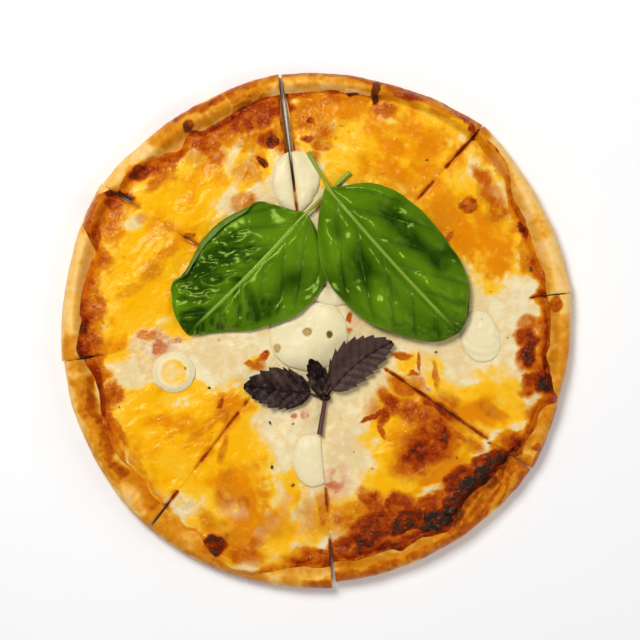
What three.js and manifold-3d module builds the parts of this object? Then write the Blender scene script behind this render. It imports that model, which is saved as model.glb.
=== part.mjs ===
// A four cheese pizza 25 cm across, cut into eight slices that still lie together as a round. Each slice is a
// dough wedge with a raised rim and a sheet of melted cheese on it. Rounds of soft white cheese, two large
// basil leaves and a sprig of purple basil lie on top.
// Millimetres, +Z up. The pizza rests on z = 0, and the origin is the middle of its base.
import * as THREE from "three";
import { mergeVertices } from "three/addons/utils/BufferGeometryUtils.js";
import Module from "manifold-3d";

const wasm = await Module();
wasm.setup();

// ---- Driving dimensions ----
const CUT_CENTRE = new THREE.Vector2(-2.9, 6.3); // where the four knife strokes cross, a little off the middle
const SLICE_TIP = 2; // blunt end of a slice, from the cut centre
const KERF = 0.4; // width of a closed cut
const CLEARANCE = 0.3; // between a piece and what it lies on
const DOUGH = 4.6; // thickness of the dough under the cheese
const RIM_HEIGHT = 12.5; // top of the raised rim
const RIM_WAVE = 0.7; // how much the rim's height wanders
const CROWN = 0.55; // where across the rim its top lies
const RIM_FOOT = 2.7; // how far the cheese climbs the inner slope of the rim
const UNDERCUT = 2; // how far the rim's underside is tucked in
const CHEESE = 3.2; // thickness of the melted cheese
const LAP = 1.1; // thickness of the cheese where it has run over the rim
const CHEESE_EDGE = 0.5; // thickness at the cheese's own edge
const RIM_LEFT_BARE = 1.5; // dough outside the widest run of cheese

const COLUMNS = 14; // facets across a slice
const CHEESE_ROWS = 15; // facets along a slice's cheese

// The knife cuts, anticlockwise from +X, in degrees. Each opening is a lens: from and to are distances from the
// cut centre, and gap is its widest point.
const CUTS = [
  { angle: 5.5, openings: [{ from: 108, to: 132, gap: 0.5 }] },
  { angle: 48.2, openings: [{ from: 78, to: 92, gap: 0.8 }, { from: 98, to: 130, gap: 0.9 }] },
  { angle: 97.3, openings: [{ from: 62, to: 124, gap: 4 }] },
  { angle: 147.3, openings: [{ from: 67, to: 75, gap: 1 }, { from: 102, to: 118, gap: 2 }] },
  { angle: 190, openings: [{ from: 103, to: 112, gap: 1 }] },
  { angle: 232.4, openings: [{ from: 108, to: 140, gap: 0.9 }] },
  { angle: 274.9, openings: [{ from: 86, to: 100, gap: 0.8 }, { from: 112, to: 142, gap: 1.6 }] },
  { angle: 325.6, openings: [{ from: 50, to: 108, gap: 1.1 }, { from: 112, to: 138, gap: 0.6 }] },
];

// One entry for each slice, from cut to cut. outer is the rim's outside and edge is where the cheese ends, both
// at the slice's start, middle and end, from the cut centre. A run is cheese that has flowed over the rim: at is
// its angle, by is how far it goes past the edge, and width is its half width in degrees.
const SLICES = [
  { outer: [128.2, 125, 126.2], edge: [114.8, 114.8, 118.6], runs: [{ at: 41, by: 5.5, width: 7 }] },
  { outer: [126.2, 120.4, 119.9], edge: [117.5, 112.5, 110.4], runs: [{ at: 58, by: 9.5, width: 10 }] },
  { outer: [120.4, 118, 121.4], edge: [110.4, 106.5, 111.9], runs: [{ at: 140.5, by: 3.6, width: 5 }] },
  { outer: [122.1, 120.6, 123.6], edge: [113.3, 112.4, 112.4], runs: [{ at: 153.5, by: 10.8, width: 5 }] },
  { outer: [122.5, 126, 129.9], edge: [111.4, 114.3, 116.2], runs: [] },
  {
    outer: [129.9, 130.8, 132.3], edge: [116.2, 119.6, 122.6],
    runs: [{ at: 247, by: 2.4, width: 3 }, { at: 256.5, by: 7.5, width: 5 }],
  },
  { outer: [129.4, 129.4, 130.6], edge: [120.6, 119.2, 118.2], runs: [{ at: 302, by: 2.2, width: 4 }] },
  { outer: [131.1, 127.2, 127.7], edge: [119.7, 119.7, 115.3], runs: [{ at: 342, by: 4, width: 3 }] },
];

// Bubbles and folds of the dough's rim: centre, radius and height. A negative height is the crease of a fold.
const RIM_LUMPS = [
  { x: -90.3, y: -79.6, radius: 6, height: 1.1 },
  { x: 106.5, y: -56.4, radius: 6, height: 0.9 },
  { x: 84.6, y: -76.9, radius: 5, height: -1.3 },
  { x: 101.2, y: -64.2, radius: 5, height: -1 },
  { x: -7.3, y: 121.5, radius: 7, height: 0.8 },
  { x: -62.1, y: 106.8, radius: 7, height: 0.7 },
  { x: 114.8, y: 38.4, radius: 8, height: 0.6 },
  { x: -121, y: 12.4, radius: 8, height: -0.8 },
  { x: -28.4, y: -122, radius: 7, height: -0.8 },
  { x: 60, y: -105, radius: 8, height: 0.7 },
];

// Low swells of the melted cheese: centre, radius and height. A negative height is a hollow.
const SWELLS = [
  { x: 52.5, y: -49, radius: 24, height: 2.2 },
  { x: 33, y: -80, radius: 14, height: 1.3 },
  { x: 43, y: 100, radius: 17, height: 1.6 },
  { x: 68, y: 72, radius: 14, height: 1.7 },
  { x: 76, y: -36, radius: 17, height: 0.9 },
  { x: -81, y: -53, radius: 24, height: 1 },
  { x: -86, y: 30, radius: 25, height: 1 },
  { x: -66, y: 74, radius: 20, height: 1 },
  { x: -38, y: -74, radius: 22, height: 1 },
  { x: -42, y: -20, radius: 18, height: -0.6 },
];

// Browned bubbles that stand up from a slice's cheese or, beyond the cheese, from its crust: centre, radius
// along and across, turn and height.
const BLISTER_SUNK = 0.6;
const BLISTERS = [
  { slice: 1, x: 73.6, y: 61, along: 4.6, across: 3.6, turn: 30, height: 1.5 },
  { slice: 2, x: 30.2, y: 118, along: 3.2, across: 1.8, turn: 85, height: 1.7, onCrust: true },
  { slice: 3, x: -19.5, y: 92.8, along: 3.4, across: 3, turn: 0, height: 1.5 },
  { slice: 3, x: -61.5, y: 99.6, along: 2.4, across: 2.2, turn: 0, height: 2, onCrust: true },
  { slice: 3, x: -26, y: 82.5, along: 2.4, across: 1.8, turn: 40, height: 1.2 },
  { slice: 6, x: -48.8, y: -101.2, along: 3, across: 2.3, turn: -25, height: 1.5 },
];

// Rounds of soft white cheese: centre, half lengths, turn, thickness and facets round the edge. One that the
// knife went through names its slices, and each slice keeps its part.
const ROUNDS = [
  { name: "centre", x: -4.1, y: -2.4, half: [18.6, 16.2], turn: 0, thick: 2.4, facets: 22 },
  { name: "back", x: 6.3, y: 17, half: [9.6, 4.4], turn: -8, thick: 1.8, facets: 12 },
  { name: "left", x: -69.8, y: -20.2, half: [10.6, 10.1], turn: 0, thick: 1.8, facets: 16 },
  { name: "right", x: 79.3, y: -2.6, half: [9.6, 12.1], turn: 16, thick: 1.6, facets: 16 },
  { name: "bottom", x: -2.4, y: -62.9, half: [9.4, 12.8], turn: 8, thick: 2.2, facets: 14, cutFor: { "": 6 } },
  {
    name: "top", x: -10.4, y: 73, half: [11.6, 14.4], turn: -6, thick: 2.2, facets: 16,
    cutFor: { _left: 3, _right: 2 },
  },
];

// The two green basil leaves. base is where the blade starts and tip is its point. left and right are the half
// widths on each side of the midrib, seen from the base, at nine places that crowd towards the ends. bend is
// how far the midrib bows to the left, and stalk is the far end of the leaf's stalk.
const LEAF_THICKNESS = 0.7;
const LEAF_CLEAR = 0.9; // height of the underside of a leaf's margin over what it lies on
const LEAF_DIP = 0.4; // how far a ripple in the margin comes down
const STALK_RADIUS = 1.1;
const STALK_CLEAR = 0.6; // height of a stalk's underside over what it lies on
const BASIL = [
  {
    name: "basil_leaf_left", base: [-5.4, 57.4], tip: [-63.2, -1.5], stalk: [16.1, 77.3], bend: 1.2,
    left: [0, 10.8, 26, 31.4, 29.4, 21.4, 10.6, 3.5, 0], right: [0, 5, 19, 25, 27.1, 24.1, 20.8, 12, 0],
    arch: 4.2, lift: 0, waves: 4, ripple: 0.9,
  },
  {
    name: "basil_leaf_right", base: [4.4, 70], tip: [68.6, -0.8], stalk: [-4.4, 86.6], bend: -1.1,
    left: [0, 4, 18.6, 26.2, 27.6, 25.7, 20, 9.5, 0], right: [0, 6.2, 17.8, 27.6, 30, 26.7, 18.9, 10.5, 0],
    arch: 5.5, lift: 3.3, waves: 2.5, ripple: 0.8,
  },
];

// The sprig of purple basil: toothed leaves that meet at a bud, over one stem.
const BUD = new THREE.Vector2(4, -33);
const STEM_END = new THREE.Vector2(1.2, -50.2);
const STEM_RADIUS = 1.2;
const SPRIG_LEAVES = [
  { base: [-2.9, -30.6], tip: [-35.6, -26.8], left: 9, right: 11.2, bend: 0, lift: 0.6, teeth: 6 },
  { base: [7.2, -28.4], tip: [36.7, -5.2], left: 12.2, right: 8.4, bend: 2.2, lift: 1.2, teeth: 6 },
  { base: [3.2, -31.6], tip: [-3.2, -13.4], left: 5.4, right: 5.4, bend: -0.6, lift: 2.6, teeth: 4 },
];

// ---- Small helpers ----
const smoothstep = THREE.MathUtils.smoothstep;
const lerp = THREE.MathUtils.lerp;
const radians = THREE.MathUtils.degToRad;
const bell = (distance, width) => Math.exp(-((distance / width) ** 2));
const sumOfBells = (bells, x, y) =>
  bells.reduce((sum, b) => sum + b.height * bell(Math.hypot(x - b.x, y - b.y), b.radius), 0);
const smoothMax = (a, b, blend) => {
  const h = Math.max(blend - Math.abs(a - b), 0) / blend;
  return Math.max(a, b) + (h * h * blend) / 4;
};
// The parabola through a value at the start, middle and end.
const throughThree = ([start, middle, end], t) =>
  start * (1 - t) * (1 - 2 * t) + middle * 4 * t * (1 - t) + end * t * (2 * t - 1);

function solidFrom(geometry) {
  const bare = geometry.clone();
  for (const name of Object.keys(bare.attributes)) if (name !== "position") bare.deleteAttribute(name);
  const merged = mergeVertices(bare, 1e-4);
  return new wasm.Manifold(
    new wasm.Mesh({
      numProp: 3,
      vertProperties: merged.attributes.position.array,
      triVerts: new Uint32Array(merged.index.array),
    }),
  );
}

function geometryFrom(solid) {
  const mesh = solid.getMesh();
  return new THREE.BufferGeometry()
    .setAttribute("position", new THREE.BufferAttribute(mesh.vertProperties, 3))
    .setIndex(new THREE.BufferAttribute(mesh.triVerts, 1));
}

function indexed(points, triangles) {
  return new THREE.BufferGeometry().setFromPoints(points).setIndex(triangles);
}

// A closed solid through sections that are closed loops with the same number of points. outline(k) gives section
// k's loop in its own plane, anticlockwise seen from the last section, for the triangles of the two ends. Each
// facet is split along its shorter diagonal, so that two layers with the same corners also have the same facets.
function loft(sections, outline) {
  const size = sections[0].length;
  const last = sections.length - 1;
  const triangles = [];
  const points = sections.flat();
  for (let k = 0; k < last; k++)
    for (let i = 0; i < size; i++) {
      const [a, b] = [k * size + i, k * size + ((i + 1) % size)];
      const [c, d] = [b + size, a + size];
      const alongAC = points[a].distanceTo(points[c]) < points[b].distanceTo(points[d]);
      triangles.push(...(alongAC ? [a, b, c, a, c, d] : [a, b, d, b, c, d]));
    }
  for (const [a, b, c] of THREE.ShapeUtils.triangulateShape(outline(0), [])) triangles.push(c, b, a);
  for (const [a, b, c] of THREE.ShapeUtils.triangulateShape(outline(last), []))
    triangles.push(last * size + a, last * size + b, last * size + c);
  return indexed(points, triangles);
}

// A thin closed solid between an upper and a lower grid of points, both split into triangles alike.
function slab(columns, rows, upper, lower) {
  const points = [];
  for (const side of [upper, lower])
    for (let j = 0; j <= rows; j++) for (let i = 0; i <= columns; i++) points.push(side(i / columns, j / rows));
  const at = (i, j, side) => side * (columns + 1) * (rows + 1) + j * (columns + 1) + i;
  const triangles = [];
  for (let j = 0; j < rows; j++)
    for (let i = 0; i < columns; i++)
      for (const side of [0, 1]) {
        const [a, b, c, d] = [at(i, j, side), at(i + 1, j, side), at(i + 1, j + 1, side), at(i, j + 1, side)];
        triangles.push(...(side ? [a, c, b, a, d, c] : [a, b, c, a, c, d]));
      }
  const wall = (i, j, k, l) =>
    triangles.push(at(i, j, 0), at(i, j, 1), at(k, l, 1), at(i, j, 0), at(k, l, 1), at(k, l, 0));
  for (let i = 0; i < columns; i++) {
    wall(i, 0, i + 1, 0);
    wall(i + 1, rows, i, rows);
  }
  for (let j = 0; j < rows; j++) {
    wall(columns, j, columns, j + 1);
    wall(0, j + 1, 0, j);
  }
  return indexed(points, triangles);
}

// ---- The slices ----
const gapOf = (cut, r) =>
  KERF +
  cut.openings.reduce(
    (sum, { from, to, gap }) =>
      r > from && r < to ? sum + gap * Math.sin((Math.PI * (r - from)) / (to - from)) : sum,
    0,
  );

const slices = SLICES.map((shape, k) => {
  const next = CUTS[(k + 1) % CUTS.length];
  return { ...shape, number: k + 1, start: CUTS[k], end: next, from: CUTS[k].angle, to: CUTS[k].angle +
    ((next.angle - CUTS[k].angle + 360) % 360) };
});

// The radii that shape a slice's rim at the share t of the way across it.
function rimAt(slice, t) {
  const angle = lerp(slice.from, slice.to, t);
  const outer = throughThree(slice.outer, t);
  const edge = throughThree(slice.edge, t);
  const run = slice.runs.reduce((sum, { at, by, width }) => sum + by * bell(angle - at, width), 0);
  return { outer, foot: edge - RIM_FOOT, cheese: Math.min(edge + run, outer - RIM_LEFT_BARE) };
}

// Height of the dough at the radius r: flat, then a smooth rise to the rim's crown, then a quarter round.
function doughTop(slice, t, r) {
  const { outer, foot } = rimAt(slice, t);
  const angle = radians(lerp(slice.from, slice.to, t));
  const { x, y } = onSlice(slice, t, r);
  const wave = RIM_WAVE * Math.sin(5 * angle) * Math.cos(13 * angle);
  const rise = RIM_HEIGHT - DOUGH + wave + sumOfBells(RIM_LUMPS, x, y);
  const across = Math.min((r - foot) / (outer - foot), 1);
  if (across <= 0) return DOUGH;
  if (across < CROWN) return DOUGH + rise * (0.5 - 0.5 * Math.cos((Math.PI * across) / CROWN));
  return DOUGH + rise * Math.sqrt(Math.max(1 - ((across - CROWN) / (1 - CROWN)) ** 2, 0));
}

const relief = (x, y) =>
  0.35 * Math.sin(0.11 * x + 0.6) * Math.cos(0.13 * y - 0.4) +
  0.2 * Math.sin(0.23 * x - 0.19 * y + 1.1) +
  sumOfBells(SWELLS, x, y);

const onSlice = (slice, t, r) => {
  const begin = radians(slice.from) + gapOf(slice.start, r) / 2 / r;
  const finish = radians(slice.to) - gapOf(slice.end, r) / 2 / r;
  const angle = lerp(begin, finish, t);
  return new THREE.Vector2(Math.cos(angle), Math.sin(angle)).multiplyScalar(r).add(CUT_CENTRE);
};

// Height of the cheese: a pool that climbs the rim's foot, and a thin coat where it has run over the rim.
function cheeseTop(slice, t, r) {
  const { cheese } = rimAt(slice, t);
  const { x, y } = onSlice(slice, t, r);
  const fade = smoothstep(cheese - r, 0, 4);
  const coat = doughTop(slice, t, r) + CLEARANCE + lerp(CHEESE_EDGE, LAP, fade);
  const pool = DOUGH + CHEESE + relief(x, y) * smoothstep(cheese - r, 0, 9);
  return lerp(coat, smoothMax(pool, coat, 1.5), fade);
}

// Height of the bare pizza at any point, with no rounds or leaves on it.
function pizzaTop(x, y) {
  const arm = new THREE.Vector2(x, y).sub(CUT_CENTRE);
  const r = Math.max(arm.length(), SLICE_TIP);
  const angle = (THREE.MathUtils.radToDeg(arm.angle()) - CUTS[0].angle + 360) % 360;
  const slice = slices.find((s) => angle + CUTS[0].angle < s.to) ?? slices.at(-1);
  const t = (angle + CUTS[0].angle - slice.from) / (slice.to - slice.from);
  return r < rimAt(slice, t).cheese ? cheeseTop(slice, t, r) : doughTop(slice, t, r);
}

// The radii where the dough and the underside of the cheese share their corners.
function sharedRadii(slice, t) {
  const { foot, cheese } = rimAt(slice, t);
  const flat = [SLICE_TIP, lerp(SLICE_TIP, foot, 0.5), lerp(SLICE_TIP, foot, 0.75), foot];
  return [...flat, lerp(foot, cheese, 1 / 3), lerp(foot, cheese, 2 / 3), cheese];
}

// Loops of [r, z] for the two layers at the share t across a slice.
function doughLoop(slice, t) {
  const { outer, cheese } = rimAt(slice, t);
  const bare = [0.44, 0.75, 0.94, 1].map((q) => lerp(cheese, outer, q));
  const top = [...sharedRadii(slice, t), ...bare].map((r) => [r, doughTop(slice, t, r)]);
  return [[SLICE_TIP, 0], [outer - UNDERCUT, 0], ...top.reverse()];
}

function cheeseLoop(slice, t) {
  const { cheese } = rimAt(slice, t);
  const under = sharedRadii(slice, t).map((r) => [r, doughTop(slice, t, r) + CLEARANCE]);
  const over = Array.from({ length: CHEESE_ROWS + 1 }, (_, k) => {
    const r = lerp(cheese, SLICE_TIP, (k / CHEESE_ROWS) ** 1.2);
    return [r, cheeseTop(slice, t, r)];
  });
  return [...under, ...over];
}

// The sections run clockwise, from the slice's end to its start, so that the faces point outwards.
function layer(slice, loopAt) {
  const share = (k) => 1 - k / COLUMNS;
  const loops = Array.from({ length: COLUMNS + 1 }, (_, k) => loopAt(slice, share(k)));
  const sections = loops.map((loop, k) =>
    loop.map(([r, z]) => {
      const { x, y } = onSlice(slice, share(k), r);
      return new THREE.Vector3(x, y, z);
    }),
  );
  return loft(sections, (k) => loops[k === 0 ? 0 : COLUMNS].map(([r, z]) => new THREE.Vector2(r, z)));
}

// A bubble that follows the slope it stands on, with its flatter underside sunk in.
function blister({ x, y, along, across, turn, height }) {
  const bubble = new THREE.SphereGeometry(1, 10, 6)
    .rotateX(Math.PI / 2)
    .scale(along, across, 1)
    .rotateZ(radians(turn))
    .translate(x, y, 0);
  const points = bubble.attributes.position;
  for (let i = 0; i < points.count; i++) {
    const up = points.getZ(i) * (points.getZ(i) > 0 ? height : BLISTER_SUNK);
    points.setZ(i, pizzaTop(points.getX(i), points.getY(i)) + up);
  }
  return bubble;
}

function blisteredLayer(slice, loopAt, onCrust) {
  const bubbles = BLISTERS.filter((b) => b.slice === slice.number && Boolean(b.onCrust) === onCrust);
  const sum = bubbles.reduce((whole, b) => whole.add(solidFrom(blister(b))), solidFrom(layer(slice, loopAt)));
  return geometryFrom(sum);
}

// ---- Rounds of soft cheese ----
const ROUND_SEAT = 0.5; // space under a round, so that its facets clear the cheese's facets
// Half profile of a round, as [share of the half width, share of the thickness]: a flat base and a rounded edge.
const ROUND_PROFILE = [[0, 0], [0.5, 0], [0.94, 0], [1, 0.35], [0.95, 0.8], [0.8, 1], [0.4, 1.06], [0, 1.06]];

function wholeRound({ x, y, half, turn, thick, facets }) {
  const profile = ROUND_PROFILE.map(([across, up]) => new THREE.Vector2(across, up * thick));
  const round = new THREE.LatheGeometry(profile, facets)
    .rotateX(Math.PI / 2)
    .scale(half[0], half[1], 1)
    .rotateZ(radians(turn))
    .translate(x, y, 0);
  const points = round.attributes.position;
  for (let i = 0; i < points.count; i++)
    points.setZ(i, points.getZ(i) + pizzaTop(points.getX(i), points.getY(i)) + ROUND_SEAT);
  return round;
}

// The upright prism over a slice, between its two cuts.
function sliceColumn(slice) {
  const radii = Array.from({ length: 40 }, (_, k) => lerp(SLICE_TIP, 130, k / 39));
  const outline = [
    ...radii.map((r) => onSlice(slice, 0, r)),
    ...radii.reverse().map((r) => onSlice(slice, 1, r)),
  ];
  return new THREE.ExtrudeGeometry(new THREE.Shape(outline), { depth: 40, bevelEnabled: false });
}

function roundsOf(round) {
  if (!round.cutFor) return [[`cheese_round_${round.name}`, solidFrom(wholeRound(round))]];
  return Object.entries(round.cutFor).map(([side, number]) => [
    `cheese_round_${round.name}${side}`,
    solidFrom(wholeRound(round)).intersect(solidFrom(sliceColumn(slices[number - 1]))),
  ]);
}

// Height of the pizza with its rounds, for what lies on them.
function servedTop(x, y) {
  return ROUNDS.reduce((height, round) => {
    const local = new THREE.Vector2(x - round.x, y - round.y);
    local.rotateAround(new THREE.Vector2(), -radians(round.turn));
    const away = Math.hypot(local.x / round.half[0], local.y / round.half[1]);
    return height + (round.thick + ROUND_SEAT) * (1 - smoothstep(away, 1, 1.35));
  }, pizzaTop(x, y));
}

// ---- Leaves ----
const LEAF_COLUMNS = 12;
const LEAF_ROWS = 13;
const BLUNT = 0.35; // half width of a blade's blunt ends

// The smooth curve through equally spaced values, at the share q of the way along them.
function through(values, q) {
  const last = values.length - 1;
  const k = Math.min(Math.floor(q * last), last - 1);
  const f = q * last - k;
  const [a, b, c, d] = [k - 1, k, k + 1, k + 2].map((i) => values[THREE.MathUtils.clamp(i, 0, last)]);
  return b + 0.5 * f * (c - a + f * (2 * a - 5 * b + 4 * c - d + f * (3 * (b - c) + d - a)));
}

// Places on a blade: s is the share of its length, and side the distance to the left of its midrib.
function bladeFrame({ base, tip, bend }) {
  const from = new THREE.Vector2(...base);
  const along = new THREE.Vector2(...tip).sub(from);
  const left = new THREE.Vector2(-along.y, along.x).normalize();
  return (s, side) =>
    from.clone().addScaledVector(along, s).addScaledVector(left, side + bend * Math.sin(Math.PI * s));
}

function tube(points, radius, sides, steps) {
  const circle = new THREE.Shape(new THREE.EllipseCurve(0, 0, radius, radius).getPoints(sides).slice(0, sides));
  const path = new THREE.CatmullRomCurve3(points);
  return new THREE.ExtrudeGeometry(circle, { steps, extrudePath: path, bevelEnabled: false });
}

function basilLeaf(leaf) {
  const place = bladeFrame(leaf);
  const surface = (u, q) => {
    const side = 1 - 2 * u; // 1 at the left margin, -1 at the right one
    const s = 0.5 - 0.5 * Math.cos(Math.PI * q);
    const half = Math.max(through(side > 0 ? leaf.left : leaf.right, q), BLUNT);
    const { x, y } = place(s, side * half);
    const arch = leaf.arch * Math.sin(Math.PI * lerp(0.08, 1, s)) ** 0.7 * (1 - side * side);
    const ripple = leaf.ripple * Math.sin(leaf.waves * 2 * Math.PI * s + 2.4 * Math.abs(side)) * Math.abs(side);
    const height = servedTop(x, y) + LEAF_CLEAR + LEAF_THICKNESS + leaf.lift + arch;
    return new THREE.Vector3(x, y, height + Math.max(ripple, -LEAF_DIP));
  };
  const under = (u, q) => surface(u, q).add(new THREE.Vector3(0, 0, -LEAF_THICKNESS));
  const blade = solidFrom(slab(LEAF_COLUMNS, LEAF_ROWS, surface, under));
  const root = surface(0.5, 0.14);
  const path = [surface(0.5, 0.24), root];
  for (const share of [0.33, 0.67, 1]) {
    const point = root.clone().lerp(new THREE.Vector3(...leaf.stalk, 0), share);
    const fall = (root.z - servedTop(root.x, root.y)) * (1 - share);
    const clear = Math.max(fall, STALK_RADIUS + STALK_CLEAR + leaf.lift * 0.5);
    path.push(point.setZ(servedTop(point.x, point.y) + clear));
  }
  return geometryFrom(blade.add(solidFrom(tube(path, STALK_RADIUS, 8, 7))));
}

// A toothed leaf: its margin goes out to a tooth and back to a notch in turn, and the midrib is a low fold. The
// half width at the share s of the length is that of the widest part on that side times a product of two powers.
const SPRIG_RISE = 0.55;
const SPRIG_FALL = 0.75;
function sprigLeaf({ base, tip, left, right, bend, lift, teeth }) {
  const widest = SPRIG_RISE / (SPRIG_RISE + SPRIG_FALL);
  const place = bladeFrame({ base, tip, bend });
  const surface = (u, row) => {
    const side = 1 - 2 * u;
    const step = Math.round(row * 2 * teeth);
    const [along, out] = step % 2 ? [step + 0.4, 1.04] : [step, 0.93];
    const s = along / (2 * teeth);
    const share = Math.max(s / widest, 0) ** SPRIG_RISE * Math.max((1 - s) / (1 - widest), 0) ** SPRIG_FALL;
    const half = side > 0 ? left : right;
    const { x, y } = place(s, side * Math.max(half * share * out, BLUNT));
    return new THREE.Vector3(x, y, servedTop(x, y) + LEAF_CLEAR + LEAF_THICKNESS + lift + 0.9 * Math.abs(side));
  };
  const under = (u, s) => surface(u, s).add(new THREE.Vector3(0, 0, -LEAF_THICKNESS));
  return solidFrom(slab(4, teeth * 2, surface, under));
}

function purpleSprig() {
  const height = (p, up) => new THREE.Vector3(p.x, p.y, servedTop(p.x, p.y) + STEM_RADIUS + CLEARANCE + up);
  const top = height(BUD, 1.2);
  const middle = height(BUD.clone().lerp(STEM_END, 0.5), 0.4);
  const stem = tube([height(STEM_END, 0), middle, top], STEM_RADIUS, 8, 4);
  const bud = new THREE.SphereGeometry(1, 8, 6).scale(2.4, 4, 1.6).translate(top.x, top.y, top.z);
  const stalks = SPRIG_LEAVES.map(({ base, lift }) => {
    const root = new THREE.Vector2(...base);
    const end = new THREE.Vector3(...base, servedTop(...base) + LEAF_CLEAR + lift + LEAF_THICKNESS / 2);
    const out = root.clone().sub(BUD).setLength(1.5);
    const beyond = end.clone().add(new THREE.Vector3(out.x, out.y, 0));
    return tube([top, top.clone().lerp(end, 0.5), end, beyond], 0.7, 5, 3);
  });
  const parts = [stem, bud, ...stalks].map(solidFrom).concat(SPRIG_LEAVES.map(sprigLeaf));
  return geometryFrom(parts.reduce((sum, part) => sum.add(part)));
}

// ---- The pizza ----
const finish = (color, roughness) => new THREE.MeshStandardMaterial({ color, roughness, metalness: 0 });
const BAKED_DOUGH = finish(0xe2a556, 0.8);
const MELTED_CHEESE = finish(0xf2ad2e, 0.45);
const SOFT_CHEESE = finish(0xf3e6bd, 0.5);
const GREEN_LEAF = finish(0x3f7a17, 0.4);
const PURPLE_LEAF = finish(0x3a2a30, 0.6);

const pizza = new THREE.Group();
function add(name, geometry, material) {
  const mesh = new THREE.Mesh(geometry, material);
  mesh.name = name;
  pizza.add(mesh);
}

for (const slice of slices) {
  add(`crust_${slice.number}`, blisteredLayer(slice, doughLoop, true), BAKED_DOUGH);
  add(`cheese_${slice.number}`, blisteredLayer(slice, cheeseLoop, false), MELTED_CHEESE);
}
for (const [name, solid] of ROUNDS.flatMap(roundsOf)) add(name, geometryFrom(solid), SOFT_CHEESE);
for (const leaf of BASIL) add(leaf.name, basilLeaf(leaf), GREEN_LEAF);
add("purple_basil_sprig", purpleSprig(), PURPLE_LEAF);

export default pizza;
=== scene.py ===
"""The looks of a four cheese pizza in eight slices: baked rim, melted cheese, soft rounds and leaves."""

import math
from collections import namedtuple

import bpy
import numpy as np
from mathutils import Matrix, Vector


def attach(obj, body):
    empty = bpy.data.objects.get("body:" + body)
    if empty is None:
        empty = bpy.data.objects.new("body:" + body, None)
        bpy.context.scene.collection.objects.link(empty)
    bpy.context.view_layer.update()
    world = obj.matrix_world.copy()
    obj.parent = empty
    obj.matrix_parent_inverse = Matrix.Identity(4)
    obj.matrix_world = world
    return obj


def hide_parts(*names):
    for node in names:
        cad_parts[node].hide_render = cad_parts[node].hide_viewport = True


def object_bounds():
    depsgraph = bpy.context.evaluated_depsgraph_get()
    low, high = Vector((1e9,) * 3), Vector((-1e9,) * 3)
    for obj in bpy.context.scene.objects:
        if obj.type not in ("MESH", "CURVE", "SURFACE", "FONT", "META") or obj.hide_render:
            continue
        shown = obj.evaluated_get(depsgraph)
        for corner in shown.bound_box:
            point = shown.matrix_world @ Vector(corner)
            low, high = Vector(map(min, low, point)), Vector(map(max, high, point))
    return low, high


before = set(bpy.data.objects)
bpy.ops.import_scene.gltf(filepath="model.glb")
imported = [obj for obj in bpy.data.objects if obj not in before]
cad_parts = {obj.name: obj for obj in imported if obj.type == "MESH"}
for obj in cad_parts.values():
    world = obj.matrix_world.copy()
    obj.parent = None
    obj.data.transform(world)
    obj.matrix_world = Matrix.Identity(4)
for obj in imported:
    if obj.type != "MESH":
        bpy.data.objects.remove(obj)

bl_info = {
    "name": "Four cheese pizza",
    "version": (1, 0, 0),
    "blender": (4, 5, 0),
    "location": "View3D > Sidebar > Pizza",
    "description": "Builds the crusts, cheese, rounds, leaves and herbs of a sliced pizza",
    "category": "Add Mesh",
}

CAD_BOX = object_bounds()

# ---- Sizes and places, in the part's millimetres: +X right, +Y back, +Z up, seen from above ----
PIZZA_WIDTH = 249.6
MM = (CAD_BOX[1].x - CAD_BOX[0].x) / PIZZA_WIDTH  # one of them, in metres
DOUGH = 4.6
RIM_HEIGHT = 12.5
CHEESE = 3.2

CUT_CENTRE = (-2.9, 6.3)
SLICE_TIP = 2.0
KERF = 0.24  # width of a cut that hasn't opened
KERF_CHANGE, KERF_CHANGE_SIZE = 0.5, 6
OPENING_CHANGE, OPENING_CHANGE_SIZE = 0.15, 5
HEALS_OVER = 4  # length over which a cut closes under cheese that has run over it
RIM_WAVE = 0.7
RIM_WAVES = (5, 13)  # round the pizza; the two are multiplied
CROWN = 0.55  # where across the rim its top lies
RIM_FOOT = 2.7  # from the cheese's edge in to where the rim starts to rise
UNDERCUT = 2.0  # how far the rim's rounded lower side draws in
COAT = 1.4  # thickness of cheese that has run over the rim
COAT_EDGE = 0.12  # its thickness at its very edge
COAT_RISES = (-0.6, 4)  # distances inside the cheese's edge between which it thickens
POOL_REACHES = 4  # distance inside the edge where the deep cheese has taken over
POOL_FILLET = 1.5  # width of the bend between it and the coat
SWELLS_REACH = 9  # distance inside the edge where its swells have their full height
RIM_LEFT_BARE = 1.5  # width of rim that the cheese never covers
CUT_RIM_SINKS = 0.7  # how far the crust rounds off beside a cut
UNDER_CHEESE = 0.05  # space between the dough and the cheese's underside
THINNEST_CHEESE = 0.15

# A knife cut: its angle, the lens-shaped openings as (from radius, to radius, widest), and the radii between
# which cheese has run over it again.
Cut = namedtuple("Cut", "angle openings healed")
CUTS = [
    Cut(5.5, [(110, 132, 0.5)], [(12, 109)]),
    Cut(48.2, [(80, 87, 0.3), (101, 130, 0.4)], [(12, 79), (88, 100)]),
    Cut(97.3, [(62, 124, 4.0)], []),
    Cut(147.3, [(67, 74, 1.4), (102, 115, 1.6)], [(12, 66), (75, 101)]),
    Cut(190, [(107, 116, 1.3)], [(12, 106)]),
    Cut(232.4, [(108, 140, 0.9)], [(12, 40), (52, 60), (92, 108)]),
    Cut(274.9, [(86, 93, 0.4), (110, 142, 1.6)], [(12, 85), (94, 109)]),
    Cut(325.6, [(46, 69, 0.3), (69, 90, 0.5), (112, 138, 0.4)], [(12, 45), (103, 111)]),
]

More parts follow.
